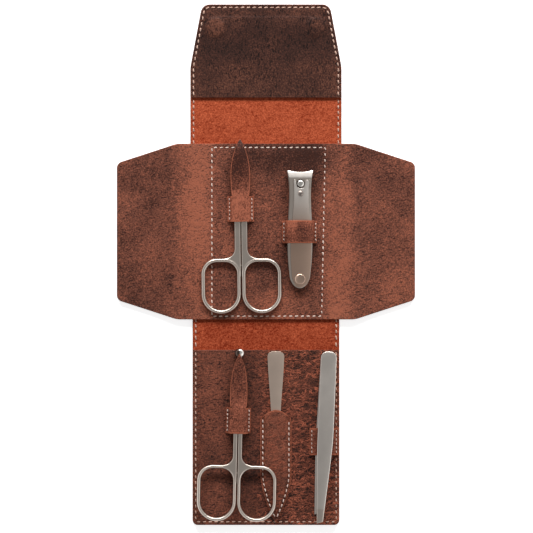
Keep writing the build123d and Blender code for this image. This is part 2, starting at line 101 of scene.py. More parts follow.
class Graph:
    """The node tree of a material or world, with short ways to add to it."""

    def __init__(self, owner):
        owner.use_nodes = True
        self.owner, self.tree = owner, owner.node_tree
        self.tree.nodes.clear()

    def add(self, kind, inputs=None, **settings):
        node = self.tree.nodes.new(kind)
        for key, value in settings.items():
            setattr(node, key, value)
        for key, value in (inputs or {}).items():
            self.put(node.inputs[key], value)
        return node

    def put(self, socket, value):
        if isinstance(value, bpy.types.NodeSocket):
            self.tree.links.new(value, socket)
        else:
            socket.default_value = value

    def math(self, operation, a, b=0.0):
        return self.add("ShaderNodeMath", {0: a, 1: b}, operation=operation).outputs[0]

    def times(self, a, b):
        return self.math("MULTIPLY", a, b)

    def centred(self, value):
        return self.math("SUBTRACT", value, 0.5)

    def sum(self, *terms):
        """Weighted sum of (value, weight) pairs; a bare number or socket counts once."""
        total = 0.0
        for term in terms:
            total = self.math("ADD", total, self.times(*term) if isinstance(term, tuple) else term)
        return total

    def vector(self, operation, a, b=(0, 0, 0)):
        """b is a number for SCALE; LENGTH and DISTANCE give a number."""
        second = "Scale" if operation == "SCALE" else 1
        node = self.add("ShaderNodeVectorMath", {0: a, second: b}, operation=operation)
        return node.outputs[1 if operation in ("LENGTH", "DISTANCE") else 0]

    def attribute(self, name, output="Vector"):
        return self.add("ShaderNodeAttribute", attribute_name=name).outputs[output]

    def place(self):
        """Where the point lies when the case lies open, in millimetres."""
        return self.attribute("rest")

    def object_place(self):
        """The same for metal, also for a node of the frame: the mesh's own metres, in millimetres."""
        return self.vector("SCALE", self.add("ShaderNodeTexCoord").outputs["Object"], 1 / MM)

    def stretch(self, vector, scale, turn=0.0):
        turned = self.add("ShaderNodeMapping", {"Vector": vector, "Rotation": (0, 0, math.radians(-turn))})
        return self.add("ShaderNodeMapping", {"Vector": turned.outputs[0], "Scale": scale}).outputs[0]

    def noise(self, vector, size, detail=3.0, rough=0.55, warp=0.0, output=0):
        inputs = {"Vector": vector, "Scale": 1 / size, "Detail": detail}
        inputs |= {"Roughness": rough, "Distortion": warp}
        return self.add("ShaderNodeTexNoise", inputs).outputs[output]

    def warped(self, vector, size, amount):
        """The vector pushed about by noise of that size, by up to that many millimetres."""
        noise = self.noise(vector, size, 2.0, 0.5, output="Color")
        push = self.vector("SUBTRACT", noise, (0.5, 0.5, 0.5))
        return self.vector("ADD", vector, self.vector("SCALE", push, 2 * amount))

    def step(self, value, low, high, to_low=0.0, to_high=1.0):
        inputs = {"Value": value, "From Min": low, "From Max": high, "To Min": to_low, "To Max": to_high}
        return self.add("ShaderNodeMapRange", inputs, interpolation_type="SMOOTHSTEP").outputs[0]

    def band(self, value, low, high, soft):
        """1 between low and high, falling to 0 over soft on each side."""
        up = self.step(value, low - soft, low + soft)
        return self.times(up, self.step(value, high - soft, high + soft, 1.0, 0.0))

    def mix(self, factor, a, b):
        return self.add("ShaderNodeMix", {0: factor, 6: a, 7: b}, data_type="RGBA").outputs[2]

    def ramp(self, value, stops):
        node = self.add("ShaderNodeValToRGB", {0: value})
        elements = node.color_ramp.elements
        for at, colour in stops[1:-1]:
            elements.new(at).color = colour
        for end in (0, -1):
            elements[end].position, elements[end].color = stops[end]
        return node.outputs[0]

    def parts(self, vector):
        return self.add("ShaderNodeSeparateXYZ", {0: vector}).outputs

    def seen(self, rays):
        """1 for rays that show the background itself: straight, mirrored or through something clear."""
        seen = self.math("MAXIMUM", rays["Is Camera Ray"], rays["Is Glossy Ray"])
        return self.math("MAXIMUM", seen, rays["Is Transmission Ray"])

    def finish(self, colour, roughness, height, distance, **fixed):
        """Colour and roughness into the shader, a bump of that many millimetres, and plain socket values."""
        bump = self.add("ShaderNodeBump", {"Height": height, "Distance": distance * MM, "Strength": 1.0})
        fixed.update(Base_Color=colour, Roughness=roughness, Normal=bump.outputs[0])
        for key, value in fixed.items():
            self.put(self.shader.inputs[key.replace("_", " ")], value)
        return self.owner


def surface(name):
    """The graph of a new material, with a Principled shader at its end."""
    g = Graph(bpy.data.materials.new(name))
    g.shader = g.add("ShaderNodeBsdfPrincipled")
    g.add("ShaderNodeOutputMaterial", {0: g.shader.outputs[0]})
    return g


# The lighter tone of cut edges: partly wear, partly painted highlight along them.
PORE, EDGE_WEAR_AND_HIGHLIGHT = srgb((34, 20, 17)), srgb((172, 98, 72))


def leather(
    name, tones, zones=(), washes=(), spots=(), veins=None,
    contrast=1.0, crease=(14.0, 0.42), rough=0.6, rim=0.3,
):
    """Waxed pull-up leather with a dark, a middle and a light tone. Its tone shifts in zones (axis, low,
    high, soft, shift), in washes (X, Y, reach in X, reach in Y, shift) that fade out, and in spots (X, Y,
    radius, shift). crease is the direction and depth of its short wrinkles, veins are (colour, amount, X
    where they set in), and rim tells how much its cut edges are lightened, partly as wear and partly as
    painted highlight."""
    g = surface(name)
    at = g.place()
    drifted = g.warped(at, 9.0, 3.5)
    x, y, _ = g.parts(drifted)
    clouds = g.noise(at, 26.0, 2.0, 0.5, 0.4)
    patches = g.noise(at, 5.0, 3.0, 0.55, 0.4)
    mottle = g.noise(at, 0.8, 2.0, 0.65)
    lines = g.noise(g.stretch(g.warped(at, 6.0, 1.2), (0.4, 1.5, 1.0), crease[0]), 1.0, 2.0, 0.6, 0.3)
    gather = g.step(g.noise(at, 11.0, 2.0), 0.3, 0.62, 0.35, 1.0)
    wrinkle = g.times(g.step(lines, 0.34, 0.46, 1.0, 0.0), gather)
    tone = g.sum(0.58, (wrinkle, -crease[1]))
    for noise, strength in ((clouds, 0.85), (patches, 0.4), (mottle, 1.9)):
        tone = g.sum(tone, (g.centred(noise), strength * contrast))
    for axis, low, high, soft, shift in zones:
        tone = g.sum(tone, (g.band(x if axis == "X" else y, low, high, soft), shift))
    for wash_x, wash_y, reach_x, reach_y, shift in washes:
        offset = g.vector("SUBTRACT", drifted, (wash_x, wash_y, 0))
        out = g.vector("LENGTH", g.vector("MULTIPLY", offset, (1 / reach_x, 1 / reach_y, 0)))
        tone = g.sum(tone, (g.step(out, 0.3, 1.0, 1.0, 0.0), shift))
    for spot_x, spot_y, radius, shift in spots:
        reach = g.sum(g.vector("DISTANCE", at, (spot_x, spot_y, Z_TOP)), (g.centred(patches), 5.0))
        tone = g.sum(tone, (g.step(reach, radius - 1.2, radius + 0.8, 1.0, 0.0), shift))
    colour = g.ramp(tone, list(zip((0.05, 0.52, 0.98), map(srgb, tones))))
    height = g.sum((mottle, 0.7), (wrinkle, -0.9), (patches, 0.3))
    if veins:
        vein_colour, amount, start = veins
        lines = []
        for size, turn, width in ((3.3, 6.0, 0.04), (1.9, 26.0, 0.05)):
            ridge = g.noise(g.stretch(g.warped(at, 4.0, 1.6), (0.42, 1.2, 1.0), turn), size, 3.0, 0.62, 0.8)
            lines.append(g.step(g.math("ABSOLUTE", g.centred(ridge)), 0.0, width, 1.0, 0.0))
        line = g.math("MAXIMUM", lines[0], g.times(lines[1], 0.5))
        wanted = g.step(g.noise(at, 9.0, 2.0), 0.26, 0.42)
        wanted = g.times(wanted, g.step(x, start - 6, start + 6, 0.12, 1.0))
        line = g.times(g.times(line, wanted), amount)
        colour = g.mix(line, colour, srgb(vein_colour))
        height = g.sum(height, (line, 0.8))
    pores = g.add("ShaderNodeTexVoronoi", {"Vector": at, "Scale": 1 / 6.5}, feature="F1").outputs[0]
    colour = g.mix(g.step(pores, 0.03, 0.05, 0.7, 0.0), colour, PORE)
    # Cut edges lightened, partly as wear and partly as painted highlight.
    edge = g.attribute("rim", "Fac")
    colour = g.mix(g.times(g.step(g.sum(edge, (mottle, 0.5)), 0.55, 1.1), rim), colour, EDGE_WEAR_AND_HIGHLIGHT)
    shine = g.sum(rough - 0.14, (patches, 0.2), (wrinkle, 0.15))
    return g.finish(colour, shine, height, 0.22, Specular_IOR_Level=0.16)


def suede(name, dark, light):
    """Napped lining with a short pile, a little lighter towards the flap."""
    g = surface(name)
    at = g.place()
    pile = g.noise(at, 0.7, 2.0, 0.7)
    brushed = g.noise(at, 14.0, 3.0, 0.6)
    fleck = g.noise(g.stretch(g.warped(at, 5.0, 1.0), (0.6, 1.1, 1.0), 25.0), 1.2, 2.0, 0.6)
    tone = g.sum(0.5, (g.centred(pile), 2.3), (g.centred(brushed), 0.7), (g.centred(fleck), 0.9))
    tone = g.sum(tone, g.step(g.parts(at)[1], 0.0, 40.0, -0.13, 0.04))
    colour = g.ramp(tone, [(0.0, srgb(dark)), (1.0, srgb(light))])
    height = g.sum(pile, (fleck, 0.9))
    nap = {"Specular_IOR_Level": 0.06, "Sheen_Weight": 0.06, "Sheen_Roughness": 0.5}
    return g.finish(colour, 0.95, height, 0.2, **nap)


def steel(name, colour, rough, brush=0.5, lines=(1.0, 1.0, 1.0), tint=None):
    """Stainless steel with a fine ground finish. tint is (colour, Y where it is full, Y where it ends)."""
    g = surface(name)
    at = g.object_place()
    ground = g.noise(g.stretch(at, lines), 0.22, 3.0, 0.7)
    cloud = g.noise(at, 7.0, 4.0, 0.6)
    low, high = (tuple(min(1.0, c * share) for c in srgb(colour)[:3]) + (1.0,) for share in (0.86, 1.12))
    shade = g.mix(g.sum((ground, 0.5 * brush), (cloud, 0.5)), low, high)
    if tint:
        shade = g.mix(g.step(g.parts(at)[1], tint[1], tint[2], 1.0, 0.0), shade, srgb(tint[0]))
    shine = g.sum(rough - 0.09, (ground, 0.12), (cloud, 0.06))
    return g.finish(shade, shine, ground, 0.006 * brush, Metallic=1.0)


def thread_material(name, dark, light):
    """Twisted linen thread. ply holds how far along a stitch a point lies, and how far round."""
    g = surface(name)
    ply = g.parts(g.attribute("ply"))
    twist = g.math("SINE", g.sum((ply[0], 9.0), (ply[1], 2 * FULL)))
    soil = g.noise(g.place(), 4.0, 3.0, 0.6)
    colour = g.mix(g.sum(0.15, (twist, 0.12), (soil, 0.9)), srgb(dark), srgb(light))
    return g.finish(colour, 0.75, twist, 0.05, Specular_IOR_Level=0.3)


def hole_shade_material():
    """Painted shade of a needle hole: a dark disc where the hole is."""
    g = surface("needle_hole_shade")
    soil = g.noise(g.place(), 0.6, 3.0, 0.6)
    colour = g.mix(soil, srgb((30, 15, 11)), srgb((60, 32, 25)))
    return g.finish(colour, 0.8, soil, 0.04, Specular_IOR_Level=0.2)


brown = leather(
    "brown_leather",
    ((54, 27, 19), (112, 66, 52), (166, 96, 72)),
    zones=[
        ("X", -90.0, -53.0, 5.0, -0.1), ("X", -50.0, -31.0, 3.5, 0.26), ("X", 33.5, 47.5, 3.5, 0.25),
        ("X", -29.0, 31.0, 3.0, -0.05), ("X", 12.0, 31.0, 9.0, -0.08),
    ],
    washes=[
        (15.0, 64.0, 52.0, 24.0, -0.3), (29.0, 62.0, 17.0, 17.0, -0.16), (-33.0, 39.0, 15.0, 26.0, 0.15),
        (29.5, 34.0, 9.0, 16.0, 0.18), (10.0, -26.0, 36.0, 16.0, 0.17), (-30.0, -23.0, 14.0, 14.0, 0.13),
        (2.0, -6.0, 13.0, 18.0, -0.17), (-48.0, 18.0, 9.0, 75.0, -0.12), (42.0, -2.0, 9.0, 28.0, -0.15),
        (58.0, 48.0, 20.0, 20.0, -0.16), (-65.0, 45.0, 16.0, 16.0, -0.16), (-66.0, -16.0, 18.0, 12.0, -0.14),
        (-74.0, 26.0, 12.0, 16.0, 0.12),
    ],
)
strap_leather = leather(
    "strap_leather",
    ((56, 27, 19), (118, 66, 50), (172, 100, 76)),
    zones=[
        ("Y", 46.0, 90.0, 7.0, -0.42), ("Y", 22.0, 40.0, 5.0, 0.3), ("Y", -72.0, -45.0, 7.0, -0.1),
        ("X", 16.5, 22.0, 2.5, -0.26), ("X", 8.0, 30.0, 2.0, -0.06),
    ],
    crease=(70.0, 0.3),
    rim=0.8,
)
outside = leather("outer_leather", ((52, 28, 21), (98, 58, 46), (146, 86, 65)), contrast=0.9, rough=0.66)
flap_leather = leather(
    "flap_leather",
    ((24, 11, 8), (66, 38, 30), (120, 74, 57)),
    washes=[(0.0, 124.0, 80.0, 17.0, -0.17)],
    spots=[(-28.0, 131.5, 5.2, 0.3), (28.0, 131.0, 4.6, 0.12)],
    contrast=0.7,
    crease=(90.0, 0.5),
    rough=0.66,
)
crackled = leather(
    "crackled_leather",
    ((32, 15, 11), (92, 53, 41), (152, 87, 66)),
    zones=[("X", -12.0, 42.0, 10.0, -0.27)],
    washes=[
        (-18.0, -66.0, 30.0, 38.0, 0.06),
        (19.0, -114.0, 20.0, 28.0, -0.17),
        (-12.0, -117.0, 18.0, 13.0, -0.13),
    ],
    veins=((182, 100, 74), 1.0, -4.0),
    contrast=0.8,
    crease=(6.0, 0.8),
)
pocket_leather = leather(
    "pocket_leather",
    ((36, 18, 13), (92, 53, 41), (152, 90, 68)),
    veins=((176, 94, 68), 0.6, -4.0),
    contrast=0.85,
    crease=(24.0, 0.5),
    rim=0.85,
)
lining = suede("suede_lining", (120, 36, 14), (200, 98, 64))
ALONG_X, ALONG_Y = (0.1, 1.0, 1.0), (1.0, 0.08, 1.0)
satin = steel("satin_steel", (200, 188, 177), 0.3)
# Painted shade: the lever's rear half is tinted darker and warmer.
lever_steel = steel("lever_steel", (246, 236, 227), 0.3, lines=ALONG_Y, tint=((188, 160, 142), 16.0, 44.0))
jaw_steel = steel("jaw_steel", (222, 214, 206), 0.34, lines=ALONG_X)
# Side walls of the clipper's leaves and lever: duller sheared edges, darkened further as painted shade of the
# gaps beside them.
edge_and_shade_steel = steel("edge_and_shade_steel", (124, 108, 100), 0.42, 0.6)
dome_steel = steel("dome_steel", (140, 130, 124), 0.36, 0.2)
# Painted shade: dark steel for the dark reflection on one half of the round scissors' ball tip and for the
# shade in the gap round the clipper's post.
painted_shade_steel = steel("painted_shade_steel", (92, 78, 72), 0.2, 0.2)
file_steel = steel("file_steel", (214, 193, 177), 0.36, lines=(0.08, 1.0, 1.0))
tweezer_steel = steel("tweezer_steel", (208, 200, 192), 0.36, lines=(0.08, 1.0, 1.0))
polished = steel("polished_steel", (226, 221, 214), 0.2, 0.2)
magnet_metal = steel("magnet_metal", (150, 150, 152), 0.3, 0.3)
keeper_metal = steel("keeper_metal", (120, 118, 116), 0.45)
thread = thread_material("thread", (192, 142, 122), (255, 238, 226))
waxed_thread = thread_material("waxed_thread", (150, 90, 70), (236, 202, 182))
needle_hole_shade = hole_shade_material()


# ---- mesh helpers ----
def link(name, data):
    obj = bpy.data.objects.new(name, data)
    bpy.context.scene.collection.objects.link(obj)
    return obj


def dress(obj, slot, *nodes, body=None):
    """Hands the object to its body and hides the CAD nodes that it stands for. slot is not used."""
    if body:
        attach(obj, body)
    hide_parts(*nodes)


def add_mesh(name, points, faces, materials, kinds=None):
    """A mesh object from points in millimetres."""
    mesh = bpy.data.meshes.new(name)
    mesh.from_pydata([tuple(p) for p in np.asarray(points) * MM], [], faces)
    for material in materials:
        mesh.materials.append(material)
    if kinds:
        mesh.polygons.foreach_set("material_index", kinds)
    return link(name, mesh)


def mark(mesh, name, values):
    """Keeps a number or a vector at each point for the materials."""
    values = np.asarray(values, np.float32)
    kind, field = ("FLOAT_VECTOR", "vector") if values.ndim == 2 else ("FLOAT", "value")
    layer = mesh.attributes.get(name) or mesh.attributes.new(name, kind, "POINT")
    layer.data.foreach_set(field, values.ravel())


def modify(obj, kind, **settings):
    modifier = obj.modifiers.new(kind.lower(), kind)
    for key, value in settings.items():
        setattr(modifier, key, value)


def baked(obj):
    """A new mesh with the object's modifiers applied."""
    bpy.context.view_layer.update()
    return bpy.data.meshes.new_from_object(obj.evaluated_get(bpy.context.evaluated_depsgraph_get()))


def settle(obj, sharp=None):
    """Applies modifiers, shades smooth and keeps each point's place at rest for the materials."""
    if obj.modifiers:
        made = baked(obj)
        obj.modifiers.clear()
        obj.data = made
    mesh = obj.data
    mesh.polygons.foreach_set("use_smooth", [True] * len(mesh.polygons))
    if sharp:
        mesh.set_sharp_from_angle(angle=math.radians(sharp))
    places = np.empty(len(mesh.vertices) * 3, np.float32)
    mesh.vertices.foreach_get("co", places)
    mark(mesh, "rest", places.reshape(-1, 3) / MM)
    return obj


def opened(mesh):
    bm = bmesh.new()
    bm.from_mesh(mesh)
    return bm


def mesh_of(name, bm):
    """A mesh out of a bmesh, which it frees."""
    mesh = bpy.data.meshes.new(name)
    bm.to_mesh(mesh)
    bm.free()
    return mesh


def mended(obj, change=lambda bm: None):
    """Turns the faces outward, then lets change work on the bmesh and returns what it says."""
    bm = opened(obj.data)
    bmesh.ops.recalc_face_normals(bm, faces=bm.faces)
    told = change(bm)
    bm.to_mesh(obj.data)
    bm.free()
    return told


def quads(index):
    """Faces over a grid of point numbers."""
    corners = (index[:-1, :-1], index[:-1, 1:], index[1:, 1:], index[1:, :-1])
    return list(zip(*(corner.ravel() for corner in corners)))


def along(path):
    """Length along a run of points, from its start."""
    return np.concatenate([[0.0], np.cumsum(np.linalg.norm(np.diff(path, axis=0), axis=1))])


def resample(path, count):
    path = np.asarray(path, float)
    gone = along(path)
    wanted = np.linspace(0, gone[-1], count)
    return np.stack([np.interp(wanted, gone, column) for column in path.T], 1)


def soften(path, rounds=3):
    """Cuts the corners of an open run of points, keeping its ends."""
    path = np.asarray(path, float)
    for _ in range(rounds):
        cut = [path[0]]
        for a, b in zip(path[:-1], path[1:]):
            cut += [a + (b - a) * 0.25, a + (b - a) * 0.75]
        path = np.array(cut + [path[-1]])
    return path


def away(x, y, path):
    """Distance of each point from a run of points."""
    p = np.stack([x, y], -1)[..., None, :]
    a, b = path[:-1], path[1:]
    d = b - a
    t = np.clip(((p - a) * d).sum(-1) / (d * d).sum(-1), 0, 1)
    return np.linalg.norm(p - (a + t[..., None] * d), axis=-1).min(-1)


def ripple(x, y, size, seed):
    """A smooth random surface between about -1 and 1, the same in every run."""
    rng = np.random.default_rng(seed)
    total = np.zeros_like(x, float)
    for _ in range(7):
        turn = rng.uniform(0, FULL)
        rate = FULL / (size * rng.uniform(0.7, 1.6))
        total += np.sin(rate * (x * math.cos(turn) + y * math.sin(turn)) + rng.uniform(0, FULL))
    return total / 3.5


def smooth(value, low, high):
    """0 below low and 1 above high, with a soft passage between them."""
    t = np.clip((value - low) / (high - low), 0, 1)
    return t * t * (3 - 2 * t)


def turned(points, degrees, first=0, second=1):
    """Points turned from one axis towards another, as a rule from X towards Y."""
    out, a = np.array(points, float), math.radians(degrees)
    u, v = out[..., first].copy(), out[..., second].copy()
    out[..., first] = u * math.cos(a) - v * math.sin(a)
    out[..., second] = u * math.sin(a) + v * math.cos(a)
    return out


def moved(points, x, y, turn):
    """Points from a tool's own frame, with Y along it, to where it lies in the case."""
    return turned(points, turn) + [x, y, 0]


def mirrored(points):
    """An open run of points and then, back again, its mirror image across X = 0."""
    return points + [(-x, y) for x, y in points[::-1]]


def inset(points, distance):
    """An open run of points moved to its left by a distance, with mitred corners."""
    points = np.asarray(points, float)
    way = np.diff(points, axis=0)
    way /= np.linalg.norm(way, axis=1)[:, None]
    normal = np.stack([-way[:, 1], way[:, 0]], 1)
    out = [points[0] + normal[0] * distance]
    for both, p in zip(normal[:-1] + normal[1:], points[1:-1]):
        out.append(p + both * distance * 2 / (both @ both))
    return np.array(out + [points[-1] + normal[-1] * distance])


def rounded(points, radii):
    """An open run of points with an arc at each inner corner."""
    points = np.asarray(points, float)
    out = [points[0]]
    for before, corner, after, radius in zip(points[:-2], points[1:-1], points[2:], radii):
        a = (before - corner) / np.linalg.norm(before - corner)
        b = (after - corner) / np.linalg.norm(after - corner)
        half = math.acos(np.clip(a @ b, -1, 1)) / 2
        reach = radius / math.tan(half)
        centre = corner + (a + b) / np.linalg.norm(a + b) * radius / math.sin(half)
        start, stop = corner + a * reach - centre, corner + b * reach - centre
        for k in np.linspace(0, 1, 9):
            ray = start * (1 - k) + stop * k
            out.append(centre + ray / np.linalg.norm(ray) * radius)
    return np.array(out + [points[-1]])


# ---- flat and draped leather ----
EDGE = np.array([0, 0.04, 0.12, 0.25, 0.45, 0.8, 1.3, 1.8, 2.3, 3.0])


def rows(start, stop, step, real, bend=None):
    """Row places from start to stop, close together at real edges and round the bend."""
    first = start + EDGE[-1] if real[0] else start
    last = stop - EDGE[-1] if real[1] else stop
    places = list(np.linspace(first, last, max(2, round((last - first) / step) + 1)))
    places += list(start + EDGE) if real[0] else []
    places += list(stop - EDGE) if real[1] else []
    places += list(np.arange(bend - 4, bend + 4.1, 0.5)) if bend else []
    kept = [start]
    for place in np.unique(np.round(places, 3)):
        if start + 0.02 < place < stop + 0.001 and place - kept[-1] > 0.035:
            kept.append(place)
    kept[-1] = stop
    return np.array(kept)


def sheet(name, s, sides, z0, z1, material, real, way="Y", radius=0.35, grooves=(), top=None, both=None):
    """A flat leather piece. Rows s run along way, and sides gives its two edges at each row. real tells at
    which ends it is cut, top lifts its upper face and both lifts the two."""
    a, b = sides(s.mean())
    count = max(4, round((b - a - 6) / 1.9))
    grid = []
    for a, b in map(sides, s):
        middle = np.linspace(a + EDGE[-1], b - EDGE[-1], count + 2)[1:-1]
        grid.append(np.concatenate([a + EDGE, middle, (b - EDGE)[::-1]]))
    t = np.array(grid)
    run = np.repeat(s[:, None], t.shape[1], 1)
    x, y = (t, run) if way == "Y" else (run, t)
    plan = np.stack([x, y], -1)
    rims = [plan[:, 0], plan[:, -1]] + [plan[end][[0, -1]] for end in (0, -1) if real[end]]
    gap = np.min([away(x, y, rim) for rim in rims], axis=0)
    fall = radius - np.sqrt(np.maximum(0, radius**2 - (radius - np.minimum(gap, radius)) ** 2))
    sunk = np.zeros_like(gap)
    for path in grooves:
        sunk = np.maximum(sunk, GROOVE * np.exp(-((away(x, y, path) / 0.5) ** 2)))
    lift = both(x, y) if both else 0.0
    upper = z1 - fall - sunk + lift + (top(x, y) if top else 0.0)
    under = z0 + fall + lift + 0.5 * sunk
    index = np.arange(gap.size).reshape(gap.shape)
    below = gap.size
    points = np.concatenate([np.stack([x, y, z], -1).reshape(-1, 3) for z in (upper, under)])
    faces = [face for quad in quads(index) for face in (quad, tuple(below + k for k in quad[::-1]))]
    for line in (index[:, 0], index[:, -1], index[0], index[-1]):
        faces += [(a, b, b + below, a + below) for a, b in zip(line[:-1], line[1:])]
    obj = add_mesh(name, points, faces, [material])
    mark(obj.data, "rim", np.tile(np.exp(-gap / 0.4).ravel(), 2))
    open_ends = [set(index[end]) | set(index[end] + below) for end in (0, -1) if not real[end]]

    def part_ends(bm):
        """Keeps the ends where another piece carries on out of the smooth shading."""
        for edge in bm.edges:
            if any(ring.issuperset(v.index for v in edge.verts) for ring in open_ends):
                edge.smooth = False

    mended(obj, part_ends)
    return settle(obj)


def face_up(bm):
    """Turns an open sheet's faces up and tells which of its points lie on an edge."""
    if sum(f.normal.z * f.calc_area() for f in bm.faces) < 0:
        bmesh.ops.reverse_faces(bm, faces=bm.faces)
    return [float(v.is_boundary) for v in bm.verts]


def draped(name, grid, material, thickness=LEATHER):
    """A soft piece with rounded cut edges over a grid of underside points, less those that are NaN."""
    places = grid.reshape(-1, 3)
    index = np.arange(len(places)).reshape(grid.shape[:2])
    faces = [face for face in quads(index) if np.isfinite(places[list(face)]).all()]
    used = sorted({k for face in faces for k in face})
    renumber = {k: i for i, k in enumerate(used)}
    obj = add_mesh(name, places[used], [tuple(renumber[k] for k in face) for face in faces], [material])
    mark(obj.data, "rim", mended(obj, face_up))
    modify(obj, "SOLIDIFY", thickness=thickness * MM, offset=1.0, use_even_offset=True)
    modify(obj, "BEVEL", width=0.22 * MM, segments=2, limit_method="ANGLE", angle_limit=math.radians(55))
    modify(obj, "SUBSURF", levels=1)
    return settle(obj)


# ---- outlines ----
def fallen(past, length, slope, soft, radius):
    """How far an edge has come in at a way past the start of its taper, with a soft start and a round end."""
    corner, lean = length - radius, math.hypot(1, slope)
    if past < corner + radius * slope / lean:
        return slope * (past if past > soft else max(0.0, past + soft) ** 2 / (4 * soft))
    return slope * corner + radius * lean - math.sqrt(max(0.0, radius**2 - (past - corner) ** 2))


def strip_half(y):
    """Half width of the strip at y."""
    if y < Y_END + R_PANEL:
        return HW_BOTTOM - R_PANEL + math.sqrt(max(0.0, R_PANEL**2 - (Y_END + R_PANEL - y) ** 2))
    if y <= Y_C:
        return HW_BOTTOM
    if y <= Y_B:
        return HW_BOTTOM + (HW_TOP - HW_BOTTOM) * (y - Y_C) / (Y_B - Y_C)
    slope = FLAP_TAPER / FLAP_TAPER_L
    return HW_TOP - fallen(y - Y_FLAP + FLAP_TAPER_L, FLAP_TAPER_L, slope, 1.2, R_FLAP)


def strip_sides(inward):
    """Left and right side of a layer of the strip that lies inward of the outer leather's edge."""
    return lambda y: (inward - strip_half(y), strip_half(y) - inward)


def wing_sides(x):
    """Y of the lower and the upper edge of the leather with the wings, at x."""
    taper = X_FOLD + WING_FLAT
    drop = fallen(abs(x) - taper, X_WING - taper, WING_SLOPE, 2.0, R_WING)
    return WING_BOTTOM + drop, WING_TOP - drop


# ---- stitch lines ----
SEAM_END = 0.6


def side_line(y0, y1, side):
    return np.array([(side * (strip_half(y) - STITCH_IN), y) for y in np.linspace(y0, y1, 12)])


def edge_line(corners, radii):
    """A stitch line inside an edge that runs through these corners and their mirror image."""
    return rounded(inset(mirrored(corners), STITCH_IN), radii)


def at_height(path, z):
    return np.column_stack([path, np.full(len(path), z)])


rectangle = np.array([(-30.0, -28.6), (-30.0, 65.0), (32.9, 65.0), (30.9, -28.6), (-30.0, -28.6)])
panel_path = edge_line([(-HW_BOTTOM, PANEL_TOP - SEAM_END), (-HW_BOTTOM, Y_END)], [1.4, 1.4])
flap_side = [(HW_TOP, FLAP_START + SEAM_END), (HW_TOP, Y_FLAP - FLAP_TAPER_L)]
flap_path = edge_line(flap_side + [(HW_TOP - FLAP_TAPER, Y_FLAP)], [12, 3.4, 3.4, 12])
strip_line = [panel_path, flap_path] + [side_line(Y_D, Y_A, side) for side in (-1, 1)]

STATIONS = np.linspace(-1, 1, 9)
TURNS = np.linspace(0, FULL, 9)[:-1]


def stitches(name, paths, pitch=3.25, thick=0.34, side=1, yarn=thread):
    """Thread and needle holes along runs of (X, Y, Z) points. side is 1 on top and -1 underneath."""
    rng = np.random.default_rng(sum(map(ord, name)))
    points, faces, kinds, ply = [], [], [], []
    up = np.array([0, 0, side], float)
    m, last = len(TURNS), len(STATIONS) - 1
    for path in paths:
        length = along(path)[-1]
        count = max(1, round(length / pitch))
        reach = 0.34 * length / count
        marks = resample(path, 2 * count + 1)
        for a, middle, b in zip(marks[:-2:2], marks[1::2], marks[2::2]):
            way = (b - a) / np.linalg.norm(b - a)
            across = np.cross(up, way)
            across /= np.linalg.norm(across)
            lean = math.radians(8 + rng.normal(0, 1.5))
            c, s = math.cos(lean), math.sin(lean)
            way, across = way * c + across * s, across * c - way * s
            size = thick * rng.uniform(0.92, 1.08)
            base = len(points)
            for t in STATIONS:
                narrow = size * (1 - 0.28 * t**4)
                centre = middle + way * t * reach + up * (0.24 - 0.62 * abs(t) ** 5)
                for angle in TURNS:
                    outward = across * math.cos(angle) + up * math.sin(angle) * 0.8
                    points.append(centre + outward * narrow)
                    ply.append((t * reach, angle / FULL, 0.0))
            index = base + np.arange((last + 1) * m).reshape(last + 1, m)
            faces += quads(np.hstack([index, index[:, :1]]))
            faces += [tuple(index[0][::-1]), tuple(index[last])]
        kinds += [0] * (len(faces) - len(kinds))
        # Dark discs at the needle holes, painted as their shade.
        for at in marks[::2]:
            base = len(points)
            for radius, rise in ((0.48, -0.16), (0.36, 0.0), (0.0, 0.03)):
                for angle in TURNS if radius else TURNS[:1]:
                    ray = np.array([math.cos(angle), math.sin(angle), 0])
                    points.append(at + ray * radius + up * rise)
                    ply.append((0.0, 0.0, 0.0))
            for j in range(m):
                a, b = base + j, base + (j + 1) % m
                faces += [(a, b, b + m, a + m), (a + m, b + m, base + 2 * m)]
        kinds += [1] * (len(faces) - len(kinds))
    obj = add_mesh(name, points, faces, [yarn, needle_hole_shade], kinds)
    mark(obj.data, "ply", ply)
    mended(obj)
    return settle(obj)


# ---- the strip: outer leather and lining, each piece reaching over one crease ----
def droop(x, y):
    """The wings sink towards the table beyond the strip's sides."""
    out = np.abs(x)
    return -0.85 * smooth(out, 46, 66) + 0.14 * ripple(x, y, 34, 4) * smooth(out, 44, 60)


def swell(x, y):
    """Slight waves in a facing."""
    return 0.05 * ripple(x, y, 17, 9)


def bend_at(obj):
    """Bakes obj's placement into its mesh."""
    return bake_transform(obj)


CUT_START, CUT_NONE, CUT_END, CUT_BOTH = (True, False), (False, False), (False, True), (True, True)
# name, body up to the crease, body beyond it, Y from and to, crease, way beyond it, cut ends, nodes it covers
STRIP = [
    ("bottom", "bottom_panel", "bottom_spine", Y_END, Y_LOW, Y_D, 1, CUT_START, ["bottom_panel"]),
    ("lower_middle", "middle", "bottom_spine", Y_LOW, Y_MID, Y_C, -1, CUT_NONE, ["bottom_spine", "middle"]),
    ("upper_middle", "middle", "top_spine", Y_MID, Y_HIGH, Y_B, 1, CUT_NONE, ["top_spine"]),
    ("flap", "flap", "top_spine", Y_HIGH, Y_FLAP, Y_A, -1, CUT_END, ["flap"]),
]
